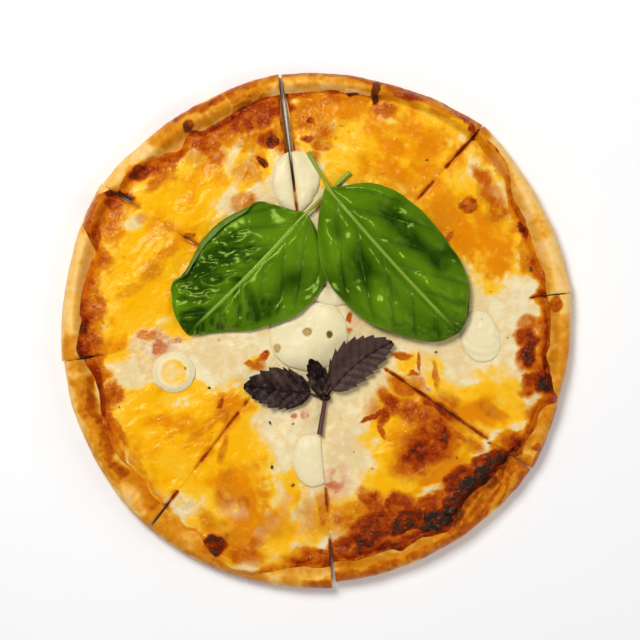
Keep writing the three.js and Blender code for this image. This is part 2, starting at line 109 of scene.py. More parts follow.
# A slice: radii of the rim's outside and of the cheese's edge at its start, middle and end, the runs where
# cheese goes further, as (angle, distance, half width in degrees), and the direction that its folds run in.
Slice = namedtuple("Slice", "number start end outer edge runs grain")
SLICE_SHAPES = [
    ((128.2, 125, 126.2), (114.8, 114.8, 118.6), [(41, 5.5, 7), (10, 1.2, 2)], -58),
    (
        (126.2, 120.4, 119.9), (117.5, 112.5, 110.4),
        [(58, 9.5, 11.5), (66, 2.5, 2), (76, -0.8, 3), (86, 1.5, 4)], -30,
    ),
    ((120.4, 118, 121.4), (110.4, 106.5, 111.9), [(140.5, 3.6, 5), (128, -2.6, 2.5), (122.3, 1.6, 1.6)], 58),
    ((122.1, 120.6, 123.6), (113.3, 112.4, 112.4), [(153.8, 11.5, 5.2), (163, -2.5, 3), (187.5, 1.4, 3)], 62),
    ((122.5, 126, 129.9), (111.4, 114.3, 116.2), [(197, -1.8, 5), (224, -1.4, 3)], 25),
    ((129.9, 130.8, 132.3), (116.2, 119.6, 122.6), [(247, 2.4, 3), (254.5, 8.8, 6.8), (239, 1.5, 2)], -72),
    ((129.4, 129.4, 130.6), (120.6, 119.2, 118.2), [(302, 3, 3), (312, -2.6, 3.5), (291, 1.6, 1.5)], 32),
    ((131.1, 127.2, 127.7), (119.7, 119.7, 115.3), [(342, 2.6, 3), (341.6, 5, 0.9), (351, -2, 2)], -25),
]


def slice_after(number, shape):
    """The slice between one cut and the next, with its second cut's angle above its first one's."""
    start, end = CUTS[number], CUTS[(number + 1) % len(CUTS)]
    return Slice(number + 1, start, end._replace(angle=start.angle + (end.angle - start.angle) % 360), *shape)


SLICES = [slice_after(number, shape) for number, shape in enumerate(SLICE_SHAPES)]

# Waves of the cheese: height, radians a millimetre along x and y, and radians at the middle.
BROAD_WAVES = (0.35, 0.11, 0.13, 0.6, -0.4)
SLANTED_WAVES = (0.2, 0.23, -0.19, 1.1)
# Bubbles and folds of the rim, and low swells of the cheese: centre, radius and height.
RIM_LUMPS = [
    (-90.3, -79.6, 6, 1.1), (106.5, -56.4, 6, 0.9), (84.6, -76.9, 5, -1.3), (101.2, -64.2, 5, -1.0),
    (-7.3, 121.5, 7, 0.8), (-62.1, 106.8, 7, 0.7), (114.8, 38.4, 8, 0.6), (-121, 12.4, 8, -0.8),
    (-28.4, -122, 7, -0.8), (60, -105, 8, 0.7),
]
SWELLS = [
    (52.5, -49, 24, 2.2), (33, -80, 14, 1.3), (43, 100, 17, 1.6), (68, 72, 14, 1.7), (76, -36, 17, 0.9),
    (-81, -53, 24, 1.0), (-86, 30, 25, 1.0), (-66, 74, 20, 1.0), (-38, -74, 22, 1.0), (-42, -20, 18, -0.6),
]
# Creases pressed into the dough's rim: from, to, half width and depth.
CREASES = [
    ((72.5, -90.5), (92, -64), 1.2, 2.2), ((80.7, -88), (95, -67), 0.9, 1.6),
    ((116, 34), (122, 22), 0.8, 0.5), ((-92, -84), (-86, -78), 1.2, 0.7),
]
# Browned bubbles that stand up: centre, half length, half width, turn and height.
BLISTERS = [
    (73.6, 61, 4.4, 3.6, 30, 1.5), (-19.5, 92.8, 3.4, 3, 0, 1.5), (-26, 82.5, 2.6, 1.8, -50, 1.2),
    (-49.6, -103.3, 5.9, 5.2, -28, 1.7), (-61.5, 99.6, 2.4, 2.2, 0, 2.0), (29, 116.4, 5.4, 1.8, 84, 1.9),
    (16.8, 115.8, 3.8, 1.6, -12, 0.9), (116.4, 13.2, 2.8, 3.8, 0, 0.8), (25.3, -103, 3, 2.2, 0, 0.9),
    (106.4, -56.6, 1.7, 1.4, 0, 0.5),
]

# Patches on the surface: centre, half length, half width, turn and strength, with the softness of the edge.
Patch = namedtuple("Patch", "x y length width turn strength soft", defaults=[0.4])
WASH_SOFTNESS = 1.7  # of a washed patch, against the same patch painted


def patches(rows):
    """The rows of a table as patches."""
    return [Patch(*row) for row in rows]


# The orange cheese; the rest is the pale one.
ORANGE_CHEESE = patches([
    (-66, 64, 26, 15, 45, 1), (-57, 48, 16, 9, 45, 1), (-82, 76, 10, 6, 30, 0.9), (-84, 30, 33, 22, 90, 1),
    (-63, 43, 18, 13, 30, 1), (-70, 12, 16, 12, 0, 1), (-104, 56, 12, 8, 30, 1), (-76, -48, 33, 19, -33, 1),
    (-52, -41, 18, 10, 12, 1), (-41, -34, 8, 6, 0, 1), (-46, -62, 27, 15, 62, 1), (-78, -72, 15, 7, -48, 1),
    (-98, -4, 11, 10, 0, 0.95), (-13, -81, 8, 6, -40, 0.95), (-42, -98, 15, 9, -20, 0.75),
    (-3, -88, 6, 12, 0, 0.25, 0.7), (14, -92, 13, 9, 20, 0.75), (31, -73, 8, 7, 0, 0.9),
    (80, -26, 8, 5, -20, 0.8), (-32, -80, 10, 17, 8, 1), (-24, -97, 12, 9, 0, 0.95),
    (-40, -108, 14, 6, -12, 0.9), (-11.5, -100.5, 8, 6.5, 0, 0.95), (-53, -91, 8, 2.4, -15, 0.8),
    (57, -58, 30, 20, -32, 1), (33, -56, 8, 16, 0, 1), (-72, -30, 14, 5, 0, 1), (40, -36, 10, 7, -35, 1),
    (46, -80, 24, 9, 20, 1), (80, -39, 23, 10, -28, 1), (96, -32, 8, 8, 0, 0.8), (60, -24, 5, 9, 10, 0.5),
    (44, -28, 13, 5, -35, 0.9), (46, -14, 7, 5, 0, 0.6), (76, 47, 26, 19, -25, 1),
    (62, 66, 18, 10, 40, 0.9), (92, 78, 20, 6, -55, 1), (106, 52, 14, 4, -68, 0.9), (43, 86, 36, 21, -5, 1),
    (74, 104, 18, 8, -38, 1), (4, 108, 20, 9, 0, 0.85), (50, 112, 20, 6, -14, 1), (-6, 96, 10, 9, 0, 0.7),
    (-30, 98, 16, 13, 20, 0.8), (-35, 76, 10, 18, 12, 0.6, 0.6), (-25, 62, 7, 4, 0, 0.5),
    (0, -104, 7, 5, 0, 0.7), (-6, -73, 6, 6, 0, 0.8), (-29, 83, 6, 5, 0, 0.8), (88, -18, 7, 5, 0, 0.4),
    (-14, -89, 6, 5, 0, 0.8), (5, 76, 5, 6, 0, 0.7), (-29, -18, 5, 4, 0, 0.5), (-37, -26, 5, 3, 0, 0.5),
    (-67, -27, 7, 4, 0, 0.7), (88, 22, 6, 4, 0, 0.4),
])
# Pale cheese that lies over it again.
PALE_OVER = patches([
    (-90, -21, 10, 5, 0, 1), (-60, -85, 12, 5, -35, 0.55), (-21, -82, 3, 6, -20, 0.7),
    (-24, -44, 8, 9, 0, 0.9), (-44, 60, 9, 6, 45, 0.75), (-27, 65, 7, 6, 20, 0.6),
    (-40, 88, 15, 2.6, 84, 0.75, 0.5), (-36, 76, 12, 2.2, 68, 0.6, 0.5), (-31, 82, 8, 1.8, 100, 0.55, 0.5),
    (-22, 72, 6, 4, 0, 0.5), (-73, -10, 10, 5, -20, 0.7), (77, 85, 12, 3.4, -52, 0.45),
    (69, 75, 6, 5, 40, 0.4), (-87.3, 54, 7, 4, 25, 0.85), (65, -25, 7, 5, 0, 0.5),
    (96, -50, 5, 6, -20, 0.7), (-21, -73, 5, 4, 0, 0.5), (-67, -34, 7, 3.4, 0, 0.5), (-75, 5, 7, 3, 0, 0.5),
    (-75, 44, 6, 3, 20, 0.4), (-46, 30, 12, 8, 60, 0.8), (84.5, -55, 9, 3.6, 50, 1),
    (54, -78.5, 8, 2.6, 22, 0.8),
])
# Where the orange cheese is deeper in colour.
DEEP_ORANGE = patches([
    (62, 56, 20, 12, -20, 0.9), (82, 42, 20, 11, -15, 0.75), (-46, -34, 14, 10, 30, 0.8),
    (46, 84, 30, 18, 0, 0.75), (82, -38, 12, 7, -20, 0.9), (-104, 54, 12, 9, 30, 0.85),
    (55, -56, 24, 18, -30, 0.9), (-78, -48, 20, 12, -33, 0.45), (16, 106, 34, 12, -5, 0.85),
    (84, 90, 30, 10, -52, 0.6), (-34, 98, 20, 12, 10, 0.8), (-44, 80, 10, 12, 0, 0.6),
    (-38, -73, 14, 11, 60, 0.8), (-66, 60, 14, 10, 45, 0.25), (-76, 44, 9, 7, 0, 0.6),
    (79, 32, 10, 8, 0, 0.9), (70, -42, 10, 5, -30, 0.9), (44, -84, 20, 6, 20, 0.5),
    (89, 67, 9, 6, -60, 0.85), (-56, 82, 10, 7, -30, 0.9), (-38, -88, 10, 12, 10, 0.9),
    (-44, -100, 14, 8, -20, 0.7), (-98, -2, 8, 7, 0, 0.6), (20, -90, 14, 8, 20, 0.8),
    (-3, -88, 6, 12, 0, 0.6), (55, -76, 12, 5, 30, 0.8), (-105, 56, 13, 11, 30, 1),
    (-22, -85, 9, 10, 0, 0.8),
])
# Browning of the cheese: 0.3 golden, 0.5 brown, 0.7 red-brown, 1 black. A negative strength takes it away.
BROWNED = patches([
    (-61.5, 99.6, 3.0, 2.7, 0, 0.93, 0.2), (-55, 91, 10, 6.5, -30, 0.58), (-51, 86, 9, 6, -40, 0.42, 0.5),
    (-57, 83, 9, 5, 0, 0.26, 0.6), (-73, 83, 13, 3.5, 25, 0.5), (-86.6, 78.3, 6.4, 4, 20, 0.72),
    (-78, 73, 8, 4, 40, 0.36), (-96, 65.5, 7, 2.2, -25, 0.8), (-84, 56, 5, 3, 0, 0.25),
    (-31, 104, 15, 6.5, 18, 0.58), (-43.5, 104, 4, 3, 0, 0.72), (-18, 108, 7, 3, 8, 0.62),
    (-34, 92, 8, 6, 0, 0.26), (2, 98, 8, 6, 0, 0.4, 0.6), (-13, 91, 5, 5, 0, 0.5, 0.6),
    (-44, -80, 6, 7, 0, 0.34, 0.6), (-99, 61, 5, 4, 0, 0.62), (-32, 76, 8, 6, 0, 0.3, 0.6),
    (-29, 83, 5, 4, 0, 0.36, 0.6), (-107, -32, 3, 7, 18, 0.75), (-83, -2.4, 4, 3, 0, 0.3, 0.6),
    (-99, -30, 5, 7, 0, 0.5), (-29, -17, 4, 2.4, 20, 0.4, 0.6), (-59, 98, 7, 5, 0, 0.66, 0.5),
    (3, -88, 4, 10, 0, 0.36, 0.6), (-19.5, 92.9, 3.8, 3.3, 0, 0.88, 0.2), (-22.5, 94.5, 6, 4.5, 0, 0.6),
    (-25.8, 82.2, 3.2, 2.0, -50, 0.78, 0.25), (-6, 104, 9, 6, 0, 0.34), (0, 112, 12, 3.5, 0, 0.34),
    (-4.4, 103.6, 2.6, 2.2, 0, 0.62), (-4.4, 94.9, 2.8, 2.4, 0, 0.62), (3, 91, 6, 3, -10, 0.38),
    (-1, 86, 4, 3, 0, 0.36), (10.5, 117, 6.5, 2.0, 6, 0.6), (16.5, 115.8, 5, 2.0, -12, 0.82, 0.25),
    (28.9, 115.4, 6.4, 2.0, 84, 0.95, 0.2), (33, 107.5, 7, 4.5, 0, 0.5), (44, 114.5, 9, 3.4, -10, 0.62),
    (55, 114, 8, 1.6, -18, 0.4), (70.5, 105, 5.5, 2.2, -50, 0.66), (75.5, 99, 4, 1.6, -55, 0.66),
    (80, 96, 4, 1.6, 40, 0.34), (73.4, 61.6, 5.0, 4.2, 20, 0.5, 0.3), (75.2, 63.6, 3, 1.5, 20, 0.66),
    (72, 58.6, 3.4, 1.2, -20, 0.6), (99.7, 48.2, 2.2, 5.6, 18, 0.76), (97, 58, 1.6, 10, 22, 0.5),
    (87.8, 88, 2.6, 2, 0, 0.55), (85, 64, 13, 5, -62, 0.42, 0.6), (80, 75, 8, 3.4, -58, 0.46, 0.6),
    (88, 57, 6, 4, 0, 0.4, 0.6), (60, 56, 17, 8, 30, 0.2), (108, 31, 11, 2.6, -61, 0.42),
    (110.5, 19.5, 5, 2.6, -10, 0.62), (103.5, -10, 9, 5.0, 62, 0.84), (104, -2, 6, 6, 0, 0.72),
    (103, -25, 4.5, 7, -20, 0.6), (104, 5, 5, 4, 0, 0.4), (107, -4, 3.6, 5.5, -5, 0.6),
    (110.5, -25, 8, 5.4, -42, 0.84), (117, -30.5, 5, 1.7, -52, 0.8), (112, -16, 3.0, 5, 0, 0.7),
    (108, -46, 2.8, 13, -16, 0.56), (103, -60, 3, 6, -30, 0.6), (116.4, 13.2, 3, 4.2, 0, 0.56, 0.25),
    (26, -96, 15, 9, 22, 0.74), (13, -104, 9, 5, 20, 0.66), (40, -84, 7, 6, 0, 0.62),
    (28, -84, 10, 5, -40, 0.56), (24.5, -103.4, 4.6, 3.2, 0, 0.9), (44, -92.5, 10, 6, 25, 0.88),
    (57.5, -91.5, 10, 6, 25, 1.0), (65.5, -85, 9, 6.4, 45, 1.0), (73.5, -77, 9, 6, 50, 1.0),
    (82, -68.5, 9, 4.8, 42, 1.0), (90.5, -62, 5, 3, 30, 0.97), (83, -61.5, 10, 3.4, 25, 0.74),
    (68, -73, 11, 6, 42, 0.72), (52, -84.5, 11, 4, 25, 0.6), (27.5, -77.5, 6, 2.5, 30, -0.25),
    (54, -56.5, 19, 12, 41, 0.6, 0.5), (48, -60, 9, 7, 40, 0.74, 0.6), (60, -51, 8, 5, 20, 0.7, 0.6),
    (76, -54, 6, 4, -30, 0.34, 0.6), (35.5, -34, 7.5, 5, -40, 0.62, 0.5), (42, -27, 9, 4, -35, 0.46, 0.6),
    # The first patch of the next line lies along the cut at 325.6 degrees and is painted shade in that cut's
    # gap.
    (60, -38, 12, 3.4, -35, 0.66, 0.6), (64, -34, 7, 4, -30, 0.36, 0.6), (51, -41, 16, 7, -32, 0.5, 0.5),
    (26, -38, 5, 6, 0, 0.3, 0.7), (49, -26, 7, 4, -35, 0.36, 0.6), (32, -41, 3, 6, -15, 0.62, 0.5),
    (66, -48, 12, 2, -36, 0.5), (82.5, -37.5, 8, 4, -20, 0.34, 0.6),
    (-49.6, -103.3, 5.9, 5.2, -28, 0.86, 0.3), (-44, -101, 10, 6, -20, 0.34, 0.7),
    (-52, -93, 8, 5, -30, 0.3, 0.7), (-35, -83, 6, 3, -40, 0.36, 0.6), (-22, -96, 12, 9, 0, 0.24, 0.8),
    (-30, -104, 6, 4, 0, 0.36, 0.6), (-3, -90, 7, 10, 0, 0.26, 0.8), (12, -92, 9, 8, 0, 0.36, 0.7),
    (20, -87, 7, 6, 0, 0.32, 0.7), (-7, -112.6, 7, 2.4, 4, 0.62), (2, -108, 4, 3, 0, 0.5),
    (-30, -112, 6, 2, 10, 0.3), (-46, -58, 2, 8, -20, 0.32), (-44, -72, 3, 5, -10, 0.34),
    (-105, 57, 14, 12, 30, 0.4, 0.4), (-107, 47, 2.6, 9, -8, 0.58), (-114, 58, 2.6, 6, 20, 0.56),
    (-98, 66, 5, 2.6, -30, 0.74), (-111.5, 24, 3.4, 13, -4, 0.48), (-113.5, 1.5, 3.2, 6, 6, 0.74),
    (-111, 8, 4, 9, 0, 0.5), (-81, 29.7, 8, 5, 40, 0.3, 0.6), (-74, 38, 6, 3, 40, 0.28, 0.6),
    (-72, 50, 4, 3, 0, 0.32, 0.6), (-92, 20, 8, 2.6, 25, 0.26, 0.6), (-108, -22, 3.6, 10, 14, 0.68),
    (-103, -32, 5, 5, 0, 0.5), (-98, -46, 2.4, 13, 30, 0.42), (-106, 10, 4, 9, 0, 0.44, 0.6),
    (-36, -109, 12, 5, -10, 0.42, 0.6), (-87, -64, 2, 8, 36, 0.26), (-47.2, -36, 1.8, 3.6, -10, 0.68, 0.5),
    (-45, -42, 4, 4, 0, 0.34, 0.6), (-58, -50, 10, 2, 35, 0.26, 0.6), (-25.3, -13.1, 3.4, 1.8, 40, 0.52),
    (-32.1, -16, 2.8, 2.2, 0, 0.38), (15.6, 6.3, 1.5, 2.6, 0, 0.46), (16, 0.5, 1.2, 1.6, 0, 0.42),
    (24, -42.3, 5, 1.4, 18, 0.62, 0.25), (28.6, -39.6, 1.3, 2.6, -20, 0.66, 0.25),
    (31, -48, 4, 1.8, -50, 0.5), (41, -11, 6, 2.2, -15, 0.5), (50.5, -15, 1.2, 5.5, 5, 0.48, 0.25),
    (47, -21, 4, 1.3, -5, 0.44, 0.25), (58.5, -21, 1.5, 7.5, 6, 0.42), (11.5, 16.2, 4.4, 2.4, -35, 0.66),
    (-11, 70, 3, 8, 8, 0.3), (-36, 62, 6, 4, 30, 0.36), (4, 62, 5, 4, 0, 0.3),
    (-63, 46, 3.0, 1.8, 30, 0.55), (63, 47, 3.6, 1.2, 48, 0.55), (56, 24, 12, 2, -40, 0.2),
    (58, 28, 4, 1.6, 0, 0.22), (38, 16, 6, 3, 0, 0.3),
])
# Browning along the cheese's edge: angle, how far in it reaches and strength.
EDGE_BAKING = [
    (5, 7, 0.5), (15, 5, 0.46), (25, 5, 0.46), (38, 4, 0.36), (48, 3, 0.38), (55, 3, 0.4), (65, 4, 0.36),
    (75, 5, 0.4), (90, 8, 0.38), (97, 9, 0.48), (110, 9, 0.6), (120, 7, 0.52), (135, 8, 0.5),
    (147, 8, 0.46), (155, 9, 0.5), (165, 7, 0.42), (180, 9, 0.54), (190, 9, 0.6), (205, 7, 0.52),
    (220, 5, 0.3), (232, 4, 0.26), (245, 3, 0.26), (258, 3, 0.3), (268, 6, 0.5), (275, 8, 0.6),
    (290, 8, 0.68), (305, 6, 0.78), (325, 6, 0.7), (335, 6, 0.55), (350, 7, 0.5),
]
# Tomato that shows through the pale cheese.
TOMATO = patches([
    (-83, -2.4, 5.4, 4, 20, 0.8), (-83, -10, 6, 5, 0, 0.8, 0.6), (-77, -3.5, 5.5, 4, -10, 0.6),
    (-84, -12, 4, 8, 10, 0.6), (-80, -8, 9, 6, 0, 0.72, 0.6), (-70, -5.5, 6, 1.6, 15, 0.6),
    (-6.8, -40.9, 2.2, 3.6, 0, 0.6), (-11.5, -42, 1.2, 2.4, 0, 0.7), (4.4, -81, 2.6, 5, 0, 0.85),
    (10, -72, 6, 9, 0, 0.68, 0.7), (6.3, -73.5, 2.8, 2.2, 0, 0.7), (9, -66, 6, 2, 10, 0.4),
    (8, -90, 3, 4, 0, 0.4), (12, -58, 7, 14, 0, 0.22, 0.8), (-30.2, -104.1, 6, 4, 35, 0.62),
    (-27, -99, 4, 3, 0, 0.5), (-40, -86, 9, 6, -20, 0.32, 0.7), (-16, -84, 3, 10, -8, 0.3, 0.7),
    (-5, -96, 5, 13, 0, 0.28, 0.7), (-22, -93, 6, 10, 0, 0.28, 0.7), (-24, 60, 8, 4, -10, 0.28, 0.7),
    (-10, 68, 4, 6, 0, 0.3, 0.7), (88, 80, 9, 3, -50, 0.25, 0.7), (62, 10, 12, 8, 0, 0.14, 0.7),
    (20, 8, 5, 8, -40, 0.3, 0.7), (-48, 25, 6, 4, 60, 0.3, 0.7), (58, -29.5, 7, 1.0, -35, 0.7),
    (-8, -36, 12, 5, 0, 0.14, 0.7),
])
# Freckles of browning, thickest near the rim.
FRECKLED = patches([
    (-30, 98, 20, 14, 10, 0.8, 0.6), (0, 98, 16, 14, 0, 0.9, 0.6), (60, 100, 30, 14, -25, 0.35, 0.6),
    (88, 70, 26, 9, -58, 0.7, 0.6), (-84, 34, 26, 20, 60, 0.5, 0.6), (-62, 86, 20, 10, 30, 0.6, 0.6),
    (-60, -66, 26, 12, 60, 0.4, 0.6), (-30, -96, 26, 14, 10, 0.6, 0.6), (30, -84, 20, 14, 20, 0.5, 0.6),
    (-26, 66, 14, 16, 0, 0.7, 0.6), (96, -44, 14, 14, 0, 0.35, 0.6),
])
# Where the cheese is pitted, crusty and bubbled rather than smooth.
CRUSTY = patches([
    (26, -94, 26, 14, 22, 1, 0.5), (66, -80, 26, 9, 38, 1, 0.5), (106, -14, 8, 16, -10, 1, 0.5),
    (68, 101, 26, 10, -36, 0.7, 0.5), (90, 80, 18, 7, -56, 0.7, 0.5), (-20, 104, 34, 9, 8, 0.9, 0.5),
    (-66, 88, 22, 8, 28, 0.8, 0.5), (-106, 56, 12, 9, 30, 0.6, 0.5), (-106, -28, 6, 22, 18, 0.6, 0.5),
    (-34, -102, 20, 8, 10, 0.8, 0.5), (-62, -86, 14, 6, -35, 0.9, 0.5), (-80, -8, 12, 7, 0, 0.5, 0.5),
])

# Baking of the rim: (from, to) degrees, where across it from the cheese outwards, half width and strength.
RIM_BAKING = [
    ((-20, 4), 0.5, 0.7, 0.36), ((4, 44), 0.0, 0.25, 0.14), ((18, 26), 0.4, 0.4, 0.26),
    ((46, 60), 0.5, 0.7, 0.6), ((60, 74), 0.4, 0.7, 0.64), ((70, 98), 0.5, 0.4, 0.34),
    ((70, 112), 0.9, 0.3, 0.6), ((100, 112), 0.05, 0.2, 0.56), ((98, 112), 0.6, 0.5, 0.48),
    ((110, 127), 0.9, 0.3, 0.72), ((110, 126), 0.4, 0.4, 0.4), ((124, 134), 0.6, 0.7, 0.44),
    ((133, 141), 0.05, 0.25, 0.42), ((148, 158), 0.5, 0.8, 0.5), ((156, 182), 0.1, 0.4, 0.2),
    ((182, 192), 0.35, 0.5, 0.42), ((192, 222), 0.24, 0.28, 0.66), ((192, 222), 0.5, 0.36, 0.48),
    ((204, 233), 0.9, 0.2, 0.28), ((218, 233), 0.2, 0.5, 0.52), ((228, 262), 0.5, 0.7, 0.38),
    ((238, 262), 0.9, 0.2, 0.5), ((244, 256), 0.3, 0.5, 0.5), ((262, 270), 0.5, 0.7, 0.34),
    ((268, 290), 0.75, 0.4, 0.66), ((275, 326), 0.5, 0.7, 0.44), ((290, 326), 0.55, 0.5, 0.62),
    ((300, 330), 0.06, 0.24, 0.76), ((314, 345), 0.92, 0.2, 0.6), ((326, 346), 0.4, 0.6, 0.4),
]
# The rim's inner side lies in shade round this angle; its golden edge is left out there, so it is painted
# paler against that shade.
SHADED_SIDE = 150  # degrees, where the rim's inner side is in shade
# Marks on the rim; a negative strength is a paler one.
RIM_MARKS = patches([
    (29.4, 117, 5.8, 1.9, 84, 1.0, 0.2), (-49.6, -103.3, 5.9, 5.2, -28, 0.86, 0.3),
    (116.4, 13.2, 3, 4.2, 0, 0.74, 0.3), (-61.5, 99.6, 3, 2.7, 0, 1.0, 0.2), (113, 6, 2.4, 4, 0, 0.6, 0.5),
    (108.5, 49, 5, 4, -40, 0.3, 0.6), (106.5, -56.6, 2.0, 1.7, 0, 0.72, 0.3),
    (-61.8, 103, 9, 3, -38, -0.25, 0.6), (-90.3, -79.6, 6, 4.5, -40, -0.6, 0.5),
    (-7, 122, 5, 2.4, -5, -0.35, 0.6), (-24, 120.5, 4, 2, 10, -0.3, 0.6),
    (86, -84, 12, 1.4, 65, -0.35, 0.5), (94, -76, 9, 1.4, 60, -0.35, 0.5), (-60, -99, 6, 3, -20, -0.4, 0.6),
])

# Rounds of soft white cheese: centre, half lengths, turn, thickness, squareness of the outline and cut side.
# The last is the number of a cut, and +1 or -1 for the side of it that the piece is on.
Round = namedtuple("Round", "name x y half turn thick square cut", defaults=[None])
ROUNDS = [
    Round("centre", -4.1, -2.4, (18.6, 16.4), 0, 2.4, 2.5),
    Round("back", 6.3, 17, (9.6, 4.4), -8, 1.8, 2.2),
    Round("left", -69.8, -20.2, (10.6, 10.1), 0, 1.8, 2),
    Round("right", 79.3, -2.6, (9.6, 12.1), 16, 1.6, 2.3),
    Round("bottom", -2.4, -62.9, (9.4, 12.8), 8, 2.2, 2.2, (6, -1)),
    Round("top_left", -10.4, 73, (11.6, 14.4), -6, 2.2, 2.2, (2, 1)),
    Round("top_right", -10.4, 73, (11.6, 14.4), -6, 2.2, 2.2, (2, -1)),
]
ROUND_ROOM = 0.5  # above a round for what lies over it
ROUND_FLANK = (1.35, 1)  # shares of its half lengths between which it lifts what lies over it
ROUND_LIFT = 0.25  # of its lower edge above the cheese
ROUND_GRID = (160, 44)  # points round it, and from its middle to its rim
ROUND_UNDERSIDE_STEP = 4  # rings of the top for each ring of the underside
ROUND_SIDE = [-0.02, -0.1, -0.16]  # levels of the rings down its side, as shares of its thickness
ROUND_BOTTOM = -0.2
CUT_ROUND_CLEAR = 0.1  # between a cut round and the cut
CUT_ROUND_INSET = 0.45  # share of its half length that its new middle keeps from the cut
EDGE_ON = 0.02  # how little a direction may turn to the cut and still be taken as running along it
SECOND_HALF = "top_right"  # of the round that a cut halves
# Holes and stains of the rounds: centre, half length, half width, depth and stain, whose strong middle in a
# hole is painted shade.
ROUND_HOLES = [
    (-4.5, -0.4, 2.8, 2.4, 1.5, 0.62),
    (6.1, -1.9, 1.8, 2.3, 1.6, 0.9),
    (-19.3, -8.4, 2.4, 3.0, 0.1, 0.55),
    (-64, -18.2, 0.9, 1.2, 0.4, 0.7),
]
RINGED_ROUND = "left"
RING_AT, RING_WIDTH = 0.68, 0.14  # shares of its half length
RING_HEIGHT, RING_DIP = 0.5, 0.35
RIPPLED_ROUND = "right"
RIPPLE_HEIGHT, RIPPLE_TURN, RIPPLE_CENTRE = 0.12, 1.6, (3, 4)

# The basil leaves, as in the part: nine half widths on each side, crowded towards the ends.
Leaf = namedtuple("Leaf", "name base tip stalk bend left right arch lift waves ripple")
LEAVES = [
    Leaf(
        "left", (-5.4, 57.4), (-63.2, -1.5), (16.1, 77.3), 1.2, (0, 10.8, 26, 31.4, 29.4, 21.4, 10.6, 3.5, 0),
        (0, 5, 19, 25, 27.1, 24.1, 20.8, 12, 0), 4.2, 0, 4, 0.9,
    ),
    Leaf(
        "right", (4.4, 70), (68.6, -0.8), (-4.4, 86.6), -1.1, (0, 4, 18.6, 26.2, 27.6, 25.7, 20, 9.5, 0),
        (0, 6.2, 17.8, 27.6, 30, 26.7, 18.9, 10.5, 0), 5.5, 3.3, 2.5, 0.8,
    ),
]
LEAF_GRID = (161, 211)  # points across a leaf and along it
LEAF_CLEAR = 0.9  # between a leaf and what lies under it
LEAF_SPACE = 0.7  # thickness of the leaf in the part, which the finer leaf lies in
LEAF_THICK = 0.34
LEAF_NARROWEST = 0.35
LEAF_SEAT_PASSES = 30  # of smoothing, since a leaf bridges small hollows
SIDE_VEINS = 5.4  # from the base to the tip on each side
VEIN_LEAN, VEIN_BEND = 1.15, 0.012  # towards the tip, against the way out and its square
VEIN_STARTS = (0.1, 0.55)  # on the left and on the right, in spacings
ROLL_TURN = math.radians(150)
ROLL_BACK_SHOWS = (math.radians(70), math.radians(110))
ROLL_RADIUS = 1.9
CREASE_LEAN = 40  # degrees between the midrib and the left leaf's creases
CREASE_HEIGHT = 1.5
# Darker stretches of the left leaf, which are painted shade, and lighter spots of it: place, half width or
# radius, and strength.
LEFT_LEAF_SHADE = [
    ((-62, 29), (-36, 44), 9, 0.75),
    ((-12, 25), (-22, 14), 5, 0.7),
    ((-24, 8), (-48, 4), 6, 0.4),
]
LEFT_LEAF_LIGHT = [(-61, 6, 7, 0.35), (-34, 19, 7, 0.3)]
# Mounds of the right leaf: share across, share along, half width, half length and height.
RIGHT_LEAF_HOLLOWS = [(0.55, 0.43, 0.16, 0.17, 1), (0.62, 0.68, 0.14, 0.1, 0.5)]
RIGHT_LEAF_SWELLS = [
    (0.2, 0.36, 0.13, 0.16, 1.9),
    (0.3, 0.74, 0.16, 0.12, 1.71),
    (-0.7, 0.5, 0.14, 0.3, 0.8),
    (-0.2, 0.53, 0.12, 0.07, 2.0),
    (0.2, 0.75, 0.14, 0.06, 1.5),
]
RIGHT_LEAF_GUTTER = [(-0.4, 0.5, 0.13, 0.3, 1)]
# A painted highlight along the midrib, added to the leaf's light and not to its height.
RIGHT_LEAF_GLEAM = [(0.08, 0.38, 0.16, 0.2, 0.35)]
HOLLOW_DEPTH, GUTTER_DEPTH = 2.6, 1.5
BLADE_UNDERSIDE = {"vein": 0, "light": 0.6, "pale": 0.85, "burnt": 0}
STALK_MASKS = {"vein": 0.85, "light": 1, "pale": 0, "burnt": 0}
STALK_RADIUS = 1.1
STALK_CLEAR = 0.6
STALK_SHARES = (0.33, 0.67, 1)  # of the way along it where its height is worked out
STALK_STEPS, STALK_SIDES = 40, 14
STALK_RADII = (0.5, 1.12)
STALK_INSIDE, STALK_ROOT = 46, 30  # points along the midrib where it starts and where it leaves the blade

# The purple sprig, as in the part. A blade's gleam is painted sheen, added to its light.
BUD = (4.0, -33.0)
STEM_END = (1.2, -50.2)
SprigLeaf = namedtuple("SprigLeaf", "base tip left right bend lift teeth crumple gleam")
SPRIG_LEAVES = [
    SprigLeaf((-2.9, -30.6), (-35.6, -26.8), 9, 11.2, 0, 0.6, 6, 0.8, 0),
    SprigLeaf((7.2, -28.4), (36.7, -5.2), 12.2, 8.4, 2.2, 1.2, 7, 0.3, 0.35),
    SprigLeaf((3.2, -31.6), (-3.2, -13.4), 5.4, 5.4, -0.6, 2.6, 4, 1.2, 0),
]
SPRIG_RISE, SPRIG_FALL = 0.55, 0.75  # powers of a blade's outline at its base and at its tip
SPRIG_GRID = (61, 181)  # points across a blade and along it
SPRIG_THICK = 0.3
TEETH_PER_VEIN = 1.15
SPRIG_STEM_CLEAR, SPRIG_BEND_CLEAR, BUD_CLEAR = 1.35, 1.9, 2.7
SPRIG_STEM_RADII, SPRIG_STEM_STEPS, SPRIG_STEM_SIDES = (1.35, 1.0), 30, 12
SPRIG_STALK_RADII, SPRIG_STALK_STEPS, SPRIG_STALK_SIDES = (0.75, 0.45), 18, 8
SPRIG_STALK_ROOT, SPRIG_STALK_END = 4, 14  # points along a blade's midrib
SPRIG_STALK_SUNK = 0.1
BUD_LEAVES, BUD_TURN, BUD_STEPS = 5, 2.4, 24
BUD_LENGTH, BUD_WIDTH, BUD_RADIUS = 3.0, 2.6, 1.0

